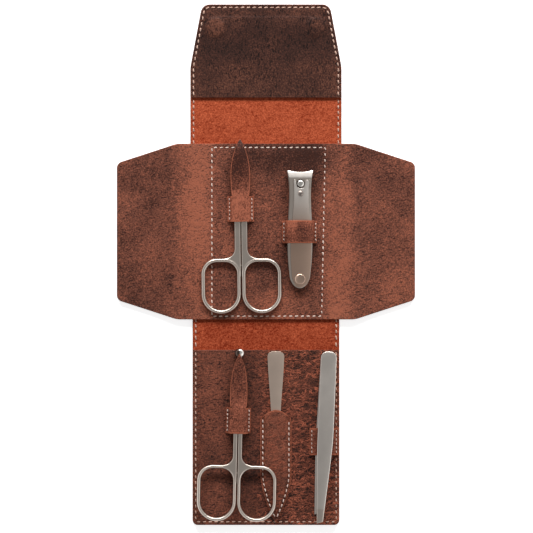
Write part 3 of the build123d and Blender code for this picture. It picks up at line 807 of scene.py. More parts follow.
# name, slot, material, Z from and to, way in from the strip's edge, radius of the edge
LAYERS = (
    ("outer", "outer_leather", outside, 0.0, Z_LINING, 0.0, 0.35),
    ("lining", "suede_lining", lining, Z_LINING, Z_CREASE, 0.2, 0.2),
)
for label, first, second, y0, y1, crease, towards, real, nodes in STRIP:
    for layer, slot, material, z0, z1, inward, radius in LAYERS:
        s, sides = rows(y0, y1, 2.0, real, crease), strip_sides(inward)
        obj = sheet(f"{layer}_{label}", s, sides, z0, z1, material, real, radius=radius, grooves=strip_line)
        bend_at(obj)
        dress(obj, slot, *(f"{layer}_{node}" for node in nodes))

# ---- facings of the flap and of the bottom panel ----
magnet_at = [sum(span(f"magnet_{side}"))[:2] / 2 for side in ("left", "right")]


def magnet_bumps(x, y):
    """Round swellings over the two magnets, the strip's ridge between them and the flap's slight waves."""
    down = Y_FLAP - 6.3 - y
    ridge = smooth(down, 0, 1.1) * (1 - smooth(down, 4, 17)) * (1 - smooth(np.abs(x), 27.5, 33))
    total = swell(x, y) * 0.6 + 0.22 * ridge
    for mx, my in magnet_at:
        total = total + 0.56 * (1 - smooth(np.hypot(x - mx, y - my), 4.7, 5.7))
    return total


flap_rows = rows(FLAP_START, Y_FLAP, 1.3, CUT_BOTH, Y_FLAP - 7.0)
panel_rows = rows(Y_END, PANEL_TOP, 2.0, CUT_BOTH)
for name, body, slot, s, material, path, top in (
    ("flap_facing", "flap", "dark_leather", flap_rows, flap_leather, flap_path, magnet_bumps),
    ("bottom_facing", "bottom_panel", "crackled_leather", panel_rows, crackled, panel_path, swell),
):
    sides = strip_sides(0.1)
    obj = sheet(f"{name}_leather", s, sides, Z_CREASE, Z_TOP, material, CUT_BOTH, grooves=[path], top=top)
    dress(obj, slot, name, body=body)

# ---- the leather with the wings ----
X_LEFT_MID = (-X_FOLD + X_LEFT_TURN) / 2
X_RIGHT_MID = (X_FOLD + X_RIGHT_TURN) / 2
# name, body at its left, body at its right, X from and to, crease, half the width that bends, nodes it covers
WINGS = [
    ("left_wing", "left_wing", "left_gusset", -X_WING, X_LEFT_MID, X_LEFT_TURN, 1.8, ["left_wing"]),
    ("left_base", "left_gusset", "middle", X_LEFT_MID, 0.0, -X_FOLD, 1.8, ["left_gusset"]),
    ("right_base", "middle", "right_gusset", 0.0, X_RIGHT_MID, X_FOLD, 2.2, ["wing_base", "right_gusset"]),
    ("right_wing", "right_gusset", "right_wing", X_RIGHT_MID, X_WING, X_RIGHT_TURN, 2.2, ["right_wing"]),
]
for name, first, second, x0, x1, crease, half, nodes in WINGS:
    real = (x0 == -X_WING, x1 == X_WING)
    s = rows(x0, x1, 2.0, real, crease)
    obj = sheet(
        f"{name}_leather", s, wing_sides, Z_CREASE, Z_TOP, brown, real, "X",
        grooves=[rectangle], top=swell, both=droop,
    )
    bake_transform(obj)
    dress(obj, "brown_leather", *nodes)


# ---- seams of the strip ----
def both_sides(y0, y1, z):
    return [at_height(side_line(y0, y1, side), z) for side in (-1, 1)]


# for each piece of the strip: seams on a facing, where its lining is sewn, and a seam that runs round an edge
SEAMS = {
    "bottom": (
        [at_height(panel_path, Z_TOP - PANEL_DEEP)],
        (Y_D + SEAM_END / 2, Y_LOW),
        [side_line(Y_LOW, Y_D, -1), panel_path, side_line(Y_D, Y_LOW, 1)],
    ),
    "lower_middle": ([], (Y_LOW, Y_C + 2 * SEAM_END), None),
    "upper_middle": ([], (Y_B - 2 * SEAM_END, Y_HIGH), None),
    "flap": (
        [at_height(flap_path, Z_TOP - GROOVE)],
        (Y_HIGH, FLAP_START - SEAM_END),
        [side_line(Y_HIGH, Y_A, 1), flap_path, side_line(Y_A, Y_HIGH, -1)],
    ),
}
for label, first, second, y0, y1, crease, towards, _, _ in STRIP:
    on_facing, sewn, edge = SEAMS[label]
    above = on_facing + both_sides(*sewn, Z_CREASE - GROOVE)
    below = [at_height(np.concatenate(edge), UNDER_STITCH)] if edge else both_sides(y0, y1, UNDER_STITCH)
    for where, paths, side in (("inside", above, 1), ("outside", below, -1)):
        seam = stitches(f"seam_{label}_{where}", paths, 3.25, 0.38, side, waxed_thread)
        bend_at(seam)

inside_line, outside_line = at_height(rectangle, Z_TOP - RECTANGLE_DEEP), at_height(rectangle, UNDER_STITCH)
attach(stitches("seam_rectangle_inside", [inside_line], thick=0.38), "middle")
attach(stitches("seam_rectangle_outside", [outside_line], side=-1), "middle")

# ---- sheaths over the scissors' blades ----
# X, Y and turn of each pair of scissors
LIES_AT = {"nail": (-14.35, Y_B - 3.8, 0.6), "round": (-14.6, Y_D - 2.7, -1.2)}
# in the scissors' own frame: Y of the loop's two ends, half widths of foot, tabs and seams, Z of its crown
SHEATHS = {
    "nail": {"near": -39.9, "far": -25.7, "base": 5.15, "tab": 7.3, "crown": 6.5, "seam": 6.1},
    "round": {"near": -44.2, "far": -30.0, "base": 4.7, "tab": 6.9, "crown": 7.7, "seam": 5.95},
}
# (Y, half width, Z) along the tongue, from the loop to its tip
LEAVES = {
    "nail": [
        (-25.2, 4.75, 6.5), (-22.5, 5.0, 6.45), (-18.5, 5.3, 6.35), (-13.0, 5.35, 6.3), (-8.0, 4.95, 6.3),
        (-3.5, 3.95, 6.25), (0.0, 2.8, 6.1), (2.6, 1.7, 5.6), (4.4, 0.8, 5.0), (5.5, 0.16, 4.6),
    ],
    "round": [
        (-29.6, 4.4, 7.55), (-26.5, 4.6, 7.2), (-22.0, 4.7, 6.9), (-17.0, 4.55, 6.6), (-12.0, 3.95, 6.35),
        (-7.5, 2.95, 6.2), (-4.2, 1.85, 6.2), (-1.8, 0.9, 6.25), (-0.3, 0.16, 6.35),
    ],
}
TAB_COLUMNS, CROWN_COLUMNS = 7, 13
LOOP_WAIST = 0.0144
SHEATH_LEATHER = 0.8


def sheath_grid(spec, leaf):
    """Underside points of a stitched loop whose crown runs on as a leaf-shaped tongue."""
    base, crown, near, far = spec["base"], spec["crown"], spec["near"], spec["far"]
    edge = base - 0.9
    side = soften([(-spec["tab"], Z_TOP), (-base, Z_TOP), (-base, crown - 0.4), (-edge, crown)])
    side = resample(side, TAB_COLUMNS + 1)[:-1]
    inner = np.linspace(-edge, edge, CROWN_COLUMNS)
    top = np.stack([inner, crown + 0.32 * (1 - (inner / edge) ** 2)], 1)
    section = np.concatenate([side, top, (side * [-1, 1])[::-1]])
    lines = []
    for v in np.linspace(near, far, 9):
        pull = LOOP_WAIST * math.sin((v - near) / (far - near) * math.pi)
        lines.append([(x * (1 - pull), v, z + pull * (z - Z_TOP)) for x, z in section])
    leaf = np.array(leaf)
    nothing = [(math.nan,) * 3] * TAB_COLUMNS
    for v in [*np.linspace(leaf[0, 0] + 0.4, leaf[-2, 0], 22), leaf[-1, 0]]:
        half, z = (np.interp(v, leaf[:, 0], leaf[:, k]) for k in (1, 2))
        arch = 0.3 * min(1.0, half / 3)
        line = [(u * half, v, z + arch * (1 - u * u)) for u in np.linspace(-1, 1, CROWN_COLUMNS)]
        lines.append(nothing + line + nothing)
    return np.array(lines)


for kind, slot in (("nail", "brown_leather"), ("round", "crackled_leather")):
    grid = moved(sheath_grid(SHEATHS[kind], LEAVES[kind]), *LIES_AT[kind])
    obj = draped(f"{kind}_sheath_leather", grid, strap_leather, SHEATH_LEATHER)
    if kind == "nail":
        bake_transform(obj)
    else:
        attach(obj, "bottom_panel")
    dress(obj, slot, f"{kind}_sheath")
for kind, body in (("nail", "middle"), ("round", "bottom_panel")):
    spec = SHEATHS[kind]
    ends = (spec["near"] + 0.7, spec["far"] - 0.7)
    lines = [[(side * spec["seam"], v, Z_TOP + SHEATH_LEATHER + 0.08) for v in ends] for side in (-1, 1)]
    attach(stitches(f"seam_{kind}_sheath", moved(lines, *LIES_AT[kind]), 2.3, 0.36), body)


# ---- bands over the clipper and through the tweezers ----
def band_grid(section, y0, y1):
    """Underside of a band with this section (X, Z), from y0 to y1, a little fuller halfway."""
    section = resample(section, 34)
    lines = []
    for k, y in enumerate(np.linspace(y0, y1, 9)):
        bow = 0.12 * math.sin(k / 8 * math.pi)
        lines.append([(x, y, z + bow * smooth(z, Z_TOP, Z_TOP + 3)) for x, z in section])
    return np.array(lines)


clip_path = [(8.9, Z_TOP), (11.2, Z_TOP), (11.45, 6.2), (12.2, 10.75), (18.6, 10.6), (25.3, 9.6), (25.8, 6.2)]
clip_path = soften(clip_path + [(26.1, Z_TOP), (28.2, Z_TOP)], 2)
(tw_left, _, _), (tw_right, _, tw_top) = span("tweezers_band")
tw_path = [(tw_left - 0.4, Z_TOP), (tw_left + 1.45, Z_TOP), (tw_left + 1.8, tw_top - LEATHER)]
tw_path = soften(tw_path + [(tw_right - 2.4, tw_top - LEATHER), (tw_right - 2.0, Z_TOP), (tw_right, Z_TOP)])
tw_seams = (tw_left + 0.9, tw_right - 1.2)
for tool, body, slot, path, seams, end, thread_size in (
    ("clipper", "middle", "brown_leather", clip_path, (10.1, 27.5), 0.8, (2.3, 0.36)),
    ("tweezers", "bottom_panel", "crackled_leather", tw_path, tw_seams, 0.7, (2.45, 0.28)),
):
    y0, y1 = (c[1] for c in span(f"{tool}_band"))
    obj = draped(f"{tool}_band_leather", band_grid(path, y0, y1), strap_leather)
    dress(obj, slot, f"{tool}_band", body=body)
    lines = [[(x, y, Z_TOP + LEATHER) for y in (y0 + end, y1 - end)] for x in seams]
    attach(stitches(f"seam_{tool}_band", lines, *thread_size), body)

# ---- the file's pocket ----
FILE_X = 5.5
pocket_low, pocket_high = span("file_pocket")
POCKET_HALF = (pocket_high[0] - pocket_low[0]) / 2
POCKET_TIP, POCKET_MOUTH = pocket_low[1], pocket_high[1]
POCKET_SHOULDER = POCKET_MOUTH - 5.4
POCKET_TURN = POCKET_TIP + 24.6


def pocket_half(y, inward=0.0):
    """Half width of the pocket, inward of its edge: straight sides that run together in arcs to its tip."""
    half, tip = POCKET_HALF - inward, POCKET_TIP + inward * 1.6
    if y >= POCKET_TURN:
        return half
    a, b, c = np.array([(half, POCKET_TURN), (half * 0.66, (POCKET_TURN + tip) / 2), (0.3, tip)])
    centre = np.linalg.solve([b - a, c - a], ((b @ b - a @ a) / 2, (c @ c - a @ a) / 2))
    radius = np.linalg.norm(a - centre)
    return max(0.0, centre[0] + math.sqrt(max(0.0, radius**2 - (y - centre[1]) ** 2)))


def pocket_outline(side, inward=0.0):
    ys = np.linspace(POCKET_SHOULDER, POCKET_TIP + inward, 60)
    return np.array([(side * pocket_half(y, inward), y) for y in ys])


def pocket_grid():
    """Underside of the pocket: flat flanges, a pillow over the file and an arched mouth."""
    u = np.linspace(-1, 1, 31)
    arch = (POCKET_MOUTH - POCKET_SHOULDER) * (1 - u**2) ** 0.9
    lines = []
    for k in np.linspace(0, 1, 46):
        straight = POCKET_SHOULDER + (POCKET_TIP - POCKET_SHOULDER) * k
        lines.append(np.stack([u * pocket_half(straight), straight + arch * (1 - k) ** 3], 1))
    plan = np.array(lines)
    x, y = plan[..., 0], plan[..., 1]
    gap = np.min([away(x, y, pocket_outline(side)) for side in (-1, 1)], axis=0)
    z = Z_TOP + 1.43 * smooth(gap, 1.7, 3.0) + 0.04 * ripple(x, y, 9, 21) * smooth(gap, 2, 5)
    return np.stack([x + FILE_X, y, z], -1)


pocket = draped("file_pocket_leather", pocket_grid(), pocket_leather)
dress(pocket, "crackled_leather", "file_pocket", body="bottom_panel")
pocket_lines = []
for side, above in ((-1, 2.6), (1, 1.2)):
    path = pocket_outline(side, 1.45)[2:-1]
    path = np.concatenate([[path[0] + [0, above]], path]) + [FILE_X, 0]
    pocket_lines.append(at_height(path, Z_TOP + LEATHER + 0.05))
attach(stitches("seam_file_pocket", pocket_lines, 2.9, 0.36), "bottom_panel")


# ---- metal shapes, each a bmesh in millimetres ----
def circle(count):
    return [FULL * k / count for k in range(count)]


def arc(centre, radius, start, stop, count=12):
    turns = np.radians(np.linspace(start, stop, count))
    return [(centre[0] + radius * math.cos(a), centre[1] + radius * math.sin(a)) for a in turns]


def plate(outline, thickness, bevel=0.18, cuts=(), rise=None, segments=2, hole=None):
    """A bevelled plate over a closed outline (X, Y), its underside lifted to rise(y), with an (X, Y, radius)
    hole. cuts are the Y where extra edges let it bend."""
    bm = bmesh.new()
    if hole:
        edges = []
        for loop in (outline, arc(hole[:2], hole[2], 0, 345, 24)):
            ring = [bm.verts.new((x, y, 0)) for x, y in loop]
            edges += [bm.edges.new(pair) for pair in zip(ring, ring[1:] + ring[:1])]
        bmesh.ops.triangle_fill(bm, use_beauty=True, edges=edges, normal=(0, 0, 1))
    else:
        bm.faces.new([bm.verts.new((x, y, 0)) for x, y in outline])
    for cut in cuts:
        whole = bm.verts[:] + bm.edges[:] + bm.faces[:]
        bmesh.ops.bisect_plane(bm, geom=whole, plane_co=(0, cut, 0), plane_no=(0, 1, 0), dist=1e-4)
    made = bmesh.ops.extrude_face_region(bm, geom=bm.faces[:])["geom"]
    upper = [v for v in made if isinstance(v, bmesh.types.BMVert)]
    bmesh.ops.translate(bm, vec=(0, 0, thickness), verts=upper)
    bmesh.ops.recalc_face_normals(bm, faces=bm.faces)
    rim = []
    for edge in bm.edges:
        level = abs(edge.verts[0].co.z - edge.verts[1].co.z) < 1e-4
        if level and edge.is_manifold and edge.calc_face_angle() > math.radians(60):
            rim.append(edge)
    size = {"offset": bevel, "segments": segments, "profile": 0.5}
    bmesh.ops.bevel(bm, geom=rim, affect="EDGES", clamp_overlap=True, **size)
    if rise:
        for v in bm.verts:
            v.co.z += rise(v.co.y)
    return bm


def skin(bm, loops):
    """Faces between loops of points, some of which may be single points, turned outward."""
    count = max(map(len, loops))
    for a, b in zip(loops[:-1], loops[1:]):
        for k in range(count):
            ring = [a[k % len(a)], a[(k + 1) % len(a)], b[(k + 1) % len(b)], b[k % len(b)]]
            bm.faces.new(list(dict.fromkeys(ring)))
    bmesh.ops.recalc_face_normals(bm, faces=bm.faces)
    return bm


def lathe(profile, count, centre, base=0.0):
    """A turned shape from (radius, Z over its base) points, closed at the axis."""
    bm = bmesh.new()
    loops = []
    for radius, z in profile:
        turns = circle(count) if radius else [0.0]
        places = [(radius * math.cos(a), radius * math.sin(a)) for a in turns]
        loops.append([bm.verts.new((centre[0] + x, centre[1] + y, base + z)) for x, y in places])
    return skin(bm, loops)


def swept_ring(path, section):
    """A closed bar along a closed path (X, Y), with its section given as (outward, Z) points."""
    bm = bmesh.new()
    ahead = np.roll(path, -1, axis=0) - np.roll(path, 1, axis=0)
    ahead /= np.linalg.norm(ahead, axis=1)[:, None]
    normal = np.stack([ahead[:, 1], -ahead[:, 0]], 1)
    loops = [[bm.verts.new((*(p + n * out), z)) for out, z in section] for p, n in zip(path, normal)]
    return skin(bm, loops + loops[:1])


def joined(shapes):
    """One bmesh out of several, which it frees."""
    whole = bmesh.new()
    for shape in shapes:
        mesh = mesh_of("part", shape)
        whole.from_mesh(mesh)
        bpy.data.meshes.remove(mesh)
    return whole


def forged(shapes):
    """Runs overlapping shapes together into one soft-edged solid."""
    rough = mesh_of("forging", joined(shapes))
    obj = link("forging", rough)
    modify(obj, "REMESH", mode="VOXEL", voxel_size=0.21)
    modify(obj, "SMOOTH", factor=0.5, iterations=9)
    made = baked(obj)
    bm = opened(made)
    bpy.data.objects.remove(obj)
    bpy.data.meshes.remove(rough)
    bpy.data.meshes.remove(made)
    return bm


def metal_object(
    node, shapes, materials, body, place, kind=None, sharp=32, slot="satin_steel", ending="steel"
):
    """Joins shapes made in a tool's own frame, puts them where place says and hands them to a body. kind
    picks the material of a face from its centre and normal."""
    whole = joined(shapes)
    if kind:
        whole.normal_update()
        for face in whole.faces:
            face.material_index = kind(face.calc_center_median(), face.normal)
    own = np.array([v.co for v in whole.verts])
    for v, point in zip(whole.verts, place(own)):
        v.co = Vector(point) * MM
    name = f"{node}_{ending}"
    mesh = mesh_of(name, whole)
    for material in materials:
        mesh.materials.append(material)
    dress(settle(link(name, mesh), sharp), slot, node, body=body)


# ---- scissors ----
BLADE, SCISSOR_H, SPLIT = 1.45, 2.95, 0.24
RING_HALF, R_RING_FRONT, PIVOT_R = 9.9, 7.5, 4.0
# the rings run from front to rear, and widths are (Y, to the other half's side, to its own) along a blade
SCISSORS = {
    "nail": {
        "tilt": 0.0, "pivot": -33.3, "half": 3.55, "bar": 2.25, "front": -61.2, "rear": -89.8, "stop": -64.2,
        "widths": [(-33.3, 3.2, 3.2), (-24.3, 2.6, 1.9), (-4, 0.8, 0.4), (-2.5, 0.5, 0.05), (0, 0.1, -0.1)],
        "ball": 0.0,
    },
    "round": {
        "tilt": -1.8, "pivot": -37.6, "half": 2.45, "bar": 1.9, "front": -62.7, "rear": -91.9, "stop": -66.0,
        "widths": [(-37.6, 2.2, 2.2), (-28.6, 2.0, 1.1), (-4, 1.3, -0.1), (-2.5, 1.2, -0.05), (0, 0.6, -0.1)],
        "ball": 5.1,
    },
}


def handle_shape(spec):
    """The right-hand ring with its web and shank."""
    bar, half, front, rear = spec["bar"], spec["half"], spec["front"], spec["rear"]
    near = SPLIT + bar / 2
    centre, far = near + RING_HALF, near + 2 * RING_HALF
    corners = [(centre, front), (near, front), (near, rear), (far, rear), (far, front), (centre, front)]
    path = rounded(corners, [R_RING_FRONT, RING_HALF - 0.05, RING_HALF - 0.05, R_RING_FRONT])
    section = [(math.cos(a) * bar / 2, SCISSOR_H / 2 + math.sin(a) * bar * 0.56) for a in circle(16)]
    flare, bend, neck = front + bar / 2, 5.2, spec["pivot"] - 5.0
    web = [(SPLIT, front - 9.0), (SPLIT, neck), (half, neck)]
    web += arc((half + bend, flare + bend), bend, 180, 270)
    web += arc((near + R_RING_FRONT, front - R_RING_FRONT), R_RING_FRONT, 90, 180)
    web += [(near, front - 9.0)]
    flat = plate(web[::-1], 1.95, 0.42, rise=lambda y: 0.5)
    stop = lathe([(0, 0.9), (0.42, 1.0), (0.5, 1.5), (0.42, 2.15), (0, 2.35)], 16, (0.5, spec["stop"]))
    return forged([swept_ring(resample(path, 121)[:-1], section), flat, stop])


def blade_shape(spec, side):
    """Pivot plate and blade of the half whose handle is on that side."""
    pivot = spec["pivot"]
    ys, to_other, to_own = zip(*spec["widths"])
    spots = [(pivot - 7.5, pivot + 6, 28), (pivot + 7, -3, 12), (-2.4, 0, 6)]
    own, other = [], []
    for v in np.concatenate([np.linspace(*run) for run in spots]):
        disc = math.sqrt(max(0.0, PIVOT_R**2 - (v - pivot) ** 2))
        if v < pivot:
            own.append((max(spec["half"], disc), v))
            other.append((-disc if disc > 0 else SPLIT, v))
        else:
            own.append((max(disc, float(np.interp(v, ys, to_own))), v))
            other.append((min(-disc, -float(np.interp(v, ys, to_other))), v))
    outline = [(side * x, v) for x, v in own + other[::-1]][::side]
    bm = plate(outline, BLADE, 0.16, cuts=np.linspace(pivot + 8, -2, 6))
    for v in bm.verts:
        thin = 0.85 * smooth(v.co.y, pivot + 8, 1.0)
        share = v.co.z / BLADE
        v.co.z += thin * (1 - share) if side > 0 else SCISSOR_H - BLADE - thin * share
    return bm


def half_ball(radius, side):
    """Half of the flattened ball at the blunt tip."""
    bm = bmesh.new()
    loops = []
    for a in np.radians(np.linspace(0, 90, 8)):
        x, out = -side * (0.05 + radius * math.sin(a)), radius * math.cos(a)
        ring = [(out * math.cos(t), out * math.sin(t)) for t in (circle(28) if a < 1.57 else [0.0])]
        loops.append([bm.verts.new((x, 0.3 + v, SCISSOR_H / 2 + 0.6 * up)) for v, up in ring])
    bm.faces.new(loops[0])
    return skin(bm, loops)


for kind, spec in SCISSORS.items():
    ball = spec["ball"] / 2
    for side, hand in ((1, "right"), (-1, "left")):
        grip = handle_shape(spec)
        if side < 0:
            bmesh.ops.scale(grip, vec=(-1, 1, 1), verts=grip.verts)
            bmesh.ops.reverse_faces(grip, faces=grip.faces)
        shapes = [grip, blade_shape(spec, side)] + ([half_ball(ball, side)] if ball else [])
        metal_object(
            f"{kind}_scissors_{hand}",
            shapes,
            # On the round scissors the right half's tip, with its half of the ball, is painted dark as shade.
            [satin, painted_shade_steel if side > 0 else polished],
            f"{kind}_scissors" if side > 0 else f"{kind}_scissors_half",
            lambda points: moved(turned(points, spec["tilt"], 1, 2) + ON_LEATHER, *LIES_AT[kind]),
            lambda c, n: int(c.y > -2.9 and ball > 0),
            sharp=38,
            ending="half_steel",
        )

# ---- nail clipper ----
CLIP_X, CLIP_ROLL, CLIP_WIDE = 18.6, 5.0, 6.9
CLIP_REAR, CLIP_FRONT = -13.0, Y_B - 15.4
LEAF_T, LEVER_T, LEAF_RISE = 1.2, 1.0, 3.0
Y_POST, Y_RIVET = CLIP_FRONT - 7.3, CLIP_REAR + 4.4
Y_DOME, LEVER_FRONT, LEVER_SHIFT = Y_POST - 5.5, Y_POST + 1.9, 0.4
Y_BEND, Y_CREST = Y_RIVET + 2.0, CLIP_FRONT - 9
Y_LOW_EDGE, Y_HIGH_EDGE = CLIP_FRONT - 3.4, CLIP_FRONT - 4.0
HIGH_START = LEAF_T + 0.05
LEVER_START = HIGH_START + LEAF_T + 0.2
LEVER_TOP = LEVER_START + LEAF_RISE + LEVER_T


def roll(points):
    """From the clipper's own frame to where it lies, rolled to its right till its edge meets the leather."""
    low = CLIP_WIDE * math.sin(math.radians(CLIP_ROLL))
    return turned(points, CLIP_ROLL, 2, 0) + ON_LEATHER + [CLIP_X, 0, low]


def behind(front, pairs):
    """(Y, half width) pairs from (way back from the front, half width) pairs."""
    return np.array([(front - back, half) for back, half in pairs])


def curve(pairs, count):
    """A smooth run through (Y, half width) pairs, as arrays."""
    path = soften(pairs)[::-1]
    y = np.linspace(pairs[0, 0], pairs[-1, 0], count)
    return y, np.interp(y, path[:, 0], path[:, 1])


def sided(pairs, rear, length, front):
    """A closed outline from half widths front to rear, with an elliptic rear end and these front points."""
    y, w = curve(pairs, 34)
    right = [(a, b) for a, b in zip(w, y) if b > rear + length]
    at = float(np.interp(rear + length, y[::-1], w[::-1]))
    turns = np.linspace(0, math.pi / 2, 15)[:-1]
    right += [(at * math.cos(a), rear + length * (1 - math.sin(a))) for a in turns]
    return front + right + [(0.0, rear)] + mirrored(right)[len(right) :]


def line_height(points):
    """Height at y along a run of (Y, Z) points."""
    ys, zs = zip(*points)
    return lambda y: float(np.interp(y, ys, zs))


leaf_plan = [(0, 7.1), (2.2, 6.6), (4.7, 6.2), (10, 5.8), (16, 5.8), (26.5, 6.3), (34, 6.7), (40.6, 6.8)]
leaf_plan = behind(CLIP_FRONT, leaf_plan + [(48.7, 6.6), (56.2, 5.9), (60, 5.3)])
jaw = [(x, CLIP_FRONT + 19.1 - math.sqrt(20.0**2 - x * x)) for x in np.linspace(-5.9, 5.9, 33)]
jaw = [(-6.95, CLIP_FRONT - 0.05)] + jaw + [(6.95, CLIP_FRONT - 0.05)]
leaf_outline = sided(leaf_plan, CLIP_REAR, 8.6, jaw)
lever_cuts = [Y_BEND, Y_CREST, *np.linspace(Y_BEND - 2, Y_BEND + 3, 5)]
leaf_cuts = lever_cuts + [Y_HIGH_EDGE, Y_LOW_EDGE, *np.linspace(CLIP_FRONT - 2.9, CLIP_FRONT - 1.1, 6)]
low_height = line_height([(CLIP_REAR, 0.0), (CLIP_FRONT - 7, 0.0), (CLIP_FRONT, 0.52)])
fall = [(Y_HIGH_EDGE + 4 * t, HIGH_START + LEAF_RISE - 0.96 * t**1.2) for t in np.linspace(0, 1, 17)]
high_height = line_height([(Y_BEND, HIGH_START), (Y_CREST, HIGH_START + LEAF_RISE)] + fall)
lever_height = line_height([(Y_BEND, LEVER_START), (Y_CREST, LEVER_START + LEAF_RISE)])
metal_object(
    "clipper_lower_leaf",
    [plate(leaf_outline, LEAF_T, 0.16, leaf_cuts, low_height)],
    [satin, polished, edge_and_shade_steel],
    "clipper",
    roll,
    # Side walls take the darker edge steel, partly painted shade.
    lambda c, n: 2 if abs(n.x) > 0.6 else int(c.y > Y_LOW_EDGE),
)
metal_object(
    "clipper_upper_leaf",
    [plate(leaf_outline, LEAF_T, 0.45, leaf_cuts, high_height, 3, (0.0, Y_POST, 2.35))],
    [satin, jaw_steel, edge_and_shade_steel],
    "clipper_leaf",
    roll,
    # Side walls take the darker edge steel, partly painted shade.
    lambda c, n: 2 if abs(n.x) > 0.75 else int(c.y > Y_HIGH_EDGE),
)
lever_plan = [(1, 4.4), (4, 4.1), (8, 4.0), (15, 4.3), (21.2, 4.95), (35.3, 5.85), (43.4, 5.8), (50.9, 5.2)]
lever_plan = behind(LEVER_FRONT, lever_plan + [(55, 4.6)])
notch = [(x, LEVER_FRONT + ahead) for x, ahead in ((-4.25, -0.3), (-3.8, 0.25), (-2.8, 0.0), (-2.6, -1.4))]
notch += arc((0, Y_POST - 0.1), 2.6, 215, 325, 13) + [(-x, y) for x, y in notch[::-1]]
lever_outline = sided(lever_plan, CLIP_REAR + 0.3, 8.2, notch)
lever_outline = [(x + LEVER_SHIFT * (abs(x) > 3.0), y) for x, y in lever_outline]
lever = plate(lever_outline, LEVER_T, 0.6, lever_cuts, lever_height, 4)
pad_profile = [(0, 0), (2.95, 0), (2.95, 0.3), (2.8, 0.52), (2.5, 0.66), (2.1, 0.6), (1.6, 0.52), (0, 0.48)]
pad = lathe(pad_profile, 40, (0, Y_RIVET + 0.6), LEVER_START + LEVER_T - 0.03)
dome_profile = [(0, -0.3), (1.6, -0.3), (1.6, 0.02), (1.4, 0.34), (1.05, 0.6), (0.55, 0.74), (0, 0.78)]
dome = lathe(dome_profile, 28, (0, Y_DOME), LEVER_TOP - 0.05)


def lever_kind(c, n):
    """Flanks dark, as dull sheared edges and as painted shade of the gap beside them; the dome between them
    grey and the rest bright.
    """
    if abs(n.x) > 0.4 and abs(c.x) > 3.2:
        return 2
    return int(abs(c.y - Y_DOME) < 1.9 and abs(c.x) < 1.9 and c.z > LEVER_TOP - 0.02)


lever_materials = [lever_steel, dome_steel, edge_and_shade_steel]
metal_object("clipper_lever", [lever, pad, dome], lever_materials, "clipper_lever", roll, lever_kind)
post_profile = [(0, 0.05 - LEVER_TOP), (1.5, 0.05 - LEVER_TOP), (1.5, -1.2), (2.2, -1.15), (2.25, -0.6)]
post_profile += [(1.8, -0.5), (1.85, 0.05), (1.75, 0.3), (1.45, 0.5), (0.9, 0.58), (0, 0.6)]
metal_object(
    "clipper_post",
    [lathe(post_profile, 36, (0, Y_POST), LEVER_TOP)],
    # Below its top the post takes the dark steel, as painted shade of the gap round it.
    [polished, painted_shade_steel],
    "clipper",
    roll,
    lambda c, n: int(c.z < LEVER_TOP - 0.05),
    slot="polished_steel",
)

# ---- nail file ----
FILE_TOP, FILE_LENGTH, FILE_HEAD = Y_D - 1.4, 90.5, 4.62
FILE_TIP = FILE_TOP - FILE_LENGTH
file_plan = [(3, FILE_HEAD), (12, 4.2), (32.5, 2.6), (40, 2.6), (44, 3.4), (74, 3.4), (84, 2.3), (89.5, 0.5)]
y, w = curve(behind(FILE_TOP, file_plan), 60)
turns = np.linspace(0, math.pi / 2, 10)[:-1]
head = [(FILE_HEAD * math.cos(a) ** 0.8, FILE_TOP - 3.0 + 3.0 * math.sin(a) ** 0.8) for a in turns]
right = [(0.0, FILE_TOP)] + head[::-1] + list(zip(w, y))[1:]
file_outline = right + [(0.0, FILE_TIP)] + [(-a, b) for a, b in right[:0:-1]]
file_plate = plate(file_outline, 1.2, 0.4, np.linspace(FILE_TIP + 1, FILE_TIP + 13, 9), segments=3)
for v in file_plate.verts:
    v.co.z *= 0.25 + 0.75 * smooth(v.co.y, FILE_TIP, FILE_TIP + 11.0)
in_pocket = ON_LEATHER + [FILE_X, 0, 0]
metal_object("nail_file", [file_plate], [file_steel], "file", lambda points: points + in_pocket)

# ---- tweezers ----
TW_AT = (35.0, Y_D - 1.4, -2.58)
TW_LEN, TW_LOW_LEN, TW_HALF, TW_HEEL = 95.4, 90.8, 4.35, 10.0
TW_TIP, TW_TIP_X, TW_SLANT = 1.7, -0.9, 1.2


def leg_outline(length):
    """A leg from above, from its round heel down to its slanted tip."""
    left, right = ([(side * TW_HALF, y) for y in (-4.0, -length * 0.45)] for side in (-1, 1))
    left += [(-TW_HALF, -length * 0.58), (TW_TIP_X - TW_TIP, -length)]
    right += [(TW_HALF, -length * 0.54), (TW_TIP_X + TW_TIP, TW_SLANT - length)]
    top = []
    for a in np.linspace(math.pi, 0, 19)[1:-1]:
        size = (abs(math.cos(a)) ** 2.3 + abs(math.sin(a)) ** 2.3) ** (-1 / 2.3)
        top.append((TW_HALF * math.cos(a) * size, 4.0 * math.sin(a) * size - 4.0))
    return top + [tuple(p) for p in soften(right)] + [tuple(p) for p in soften(left)[::-1]]


def lie_tweezers(points):
    return moved(points + ON_LEATHER, *TW_AT)


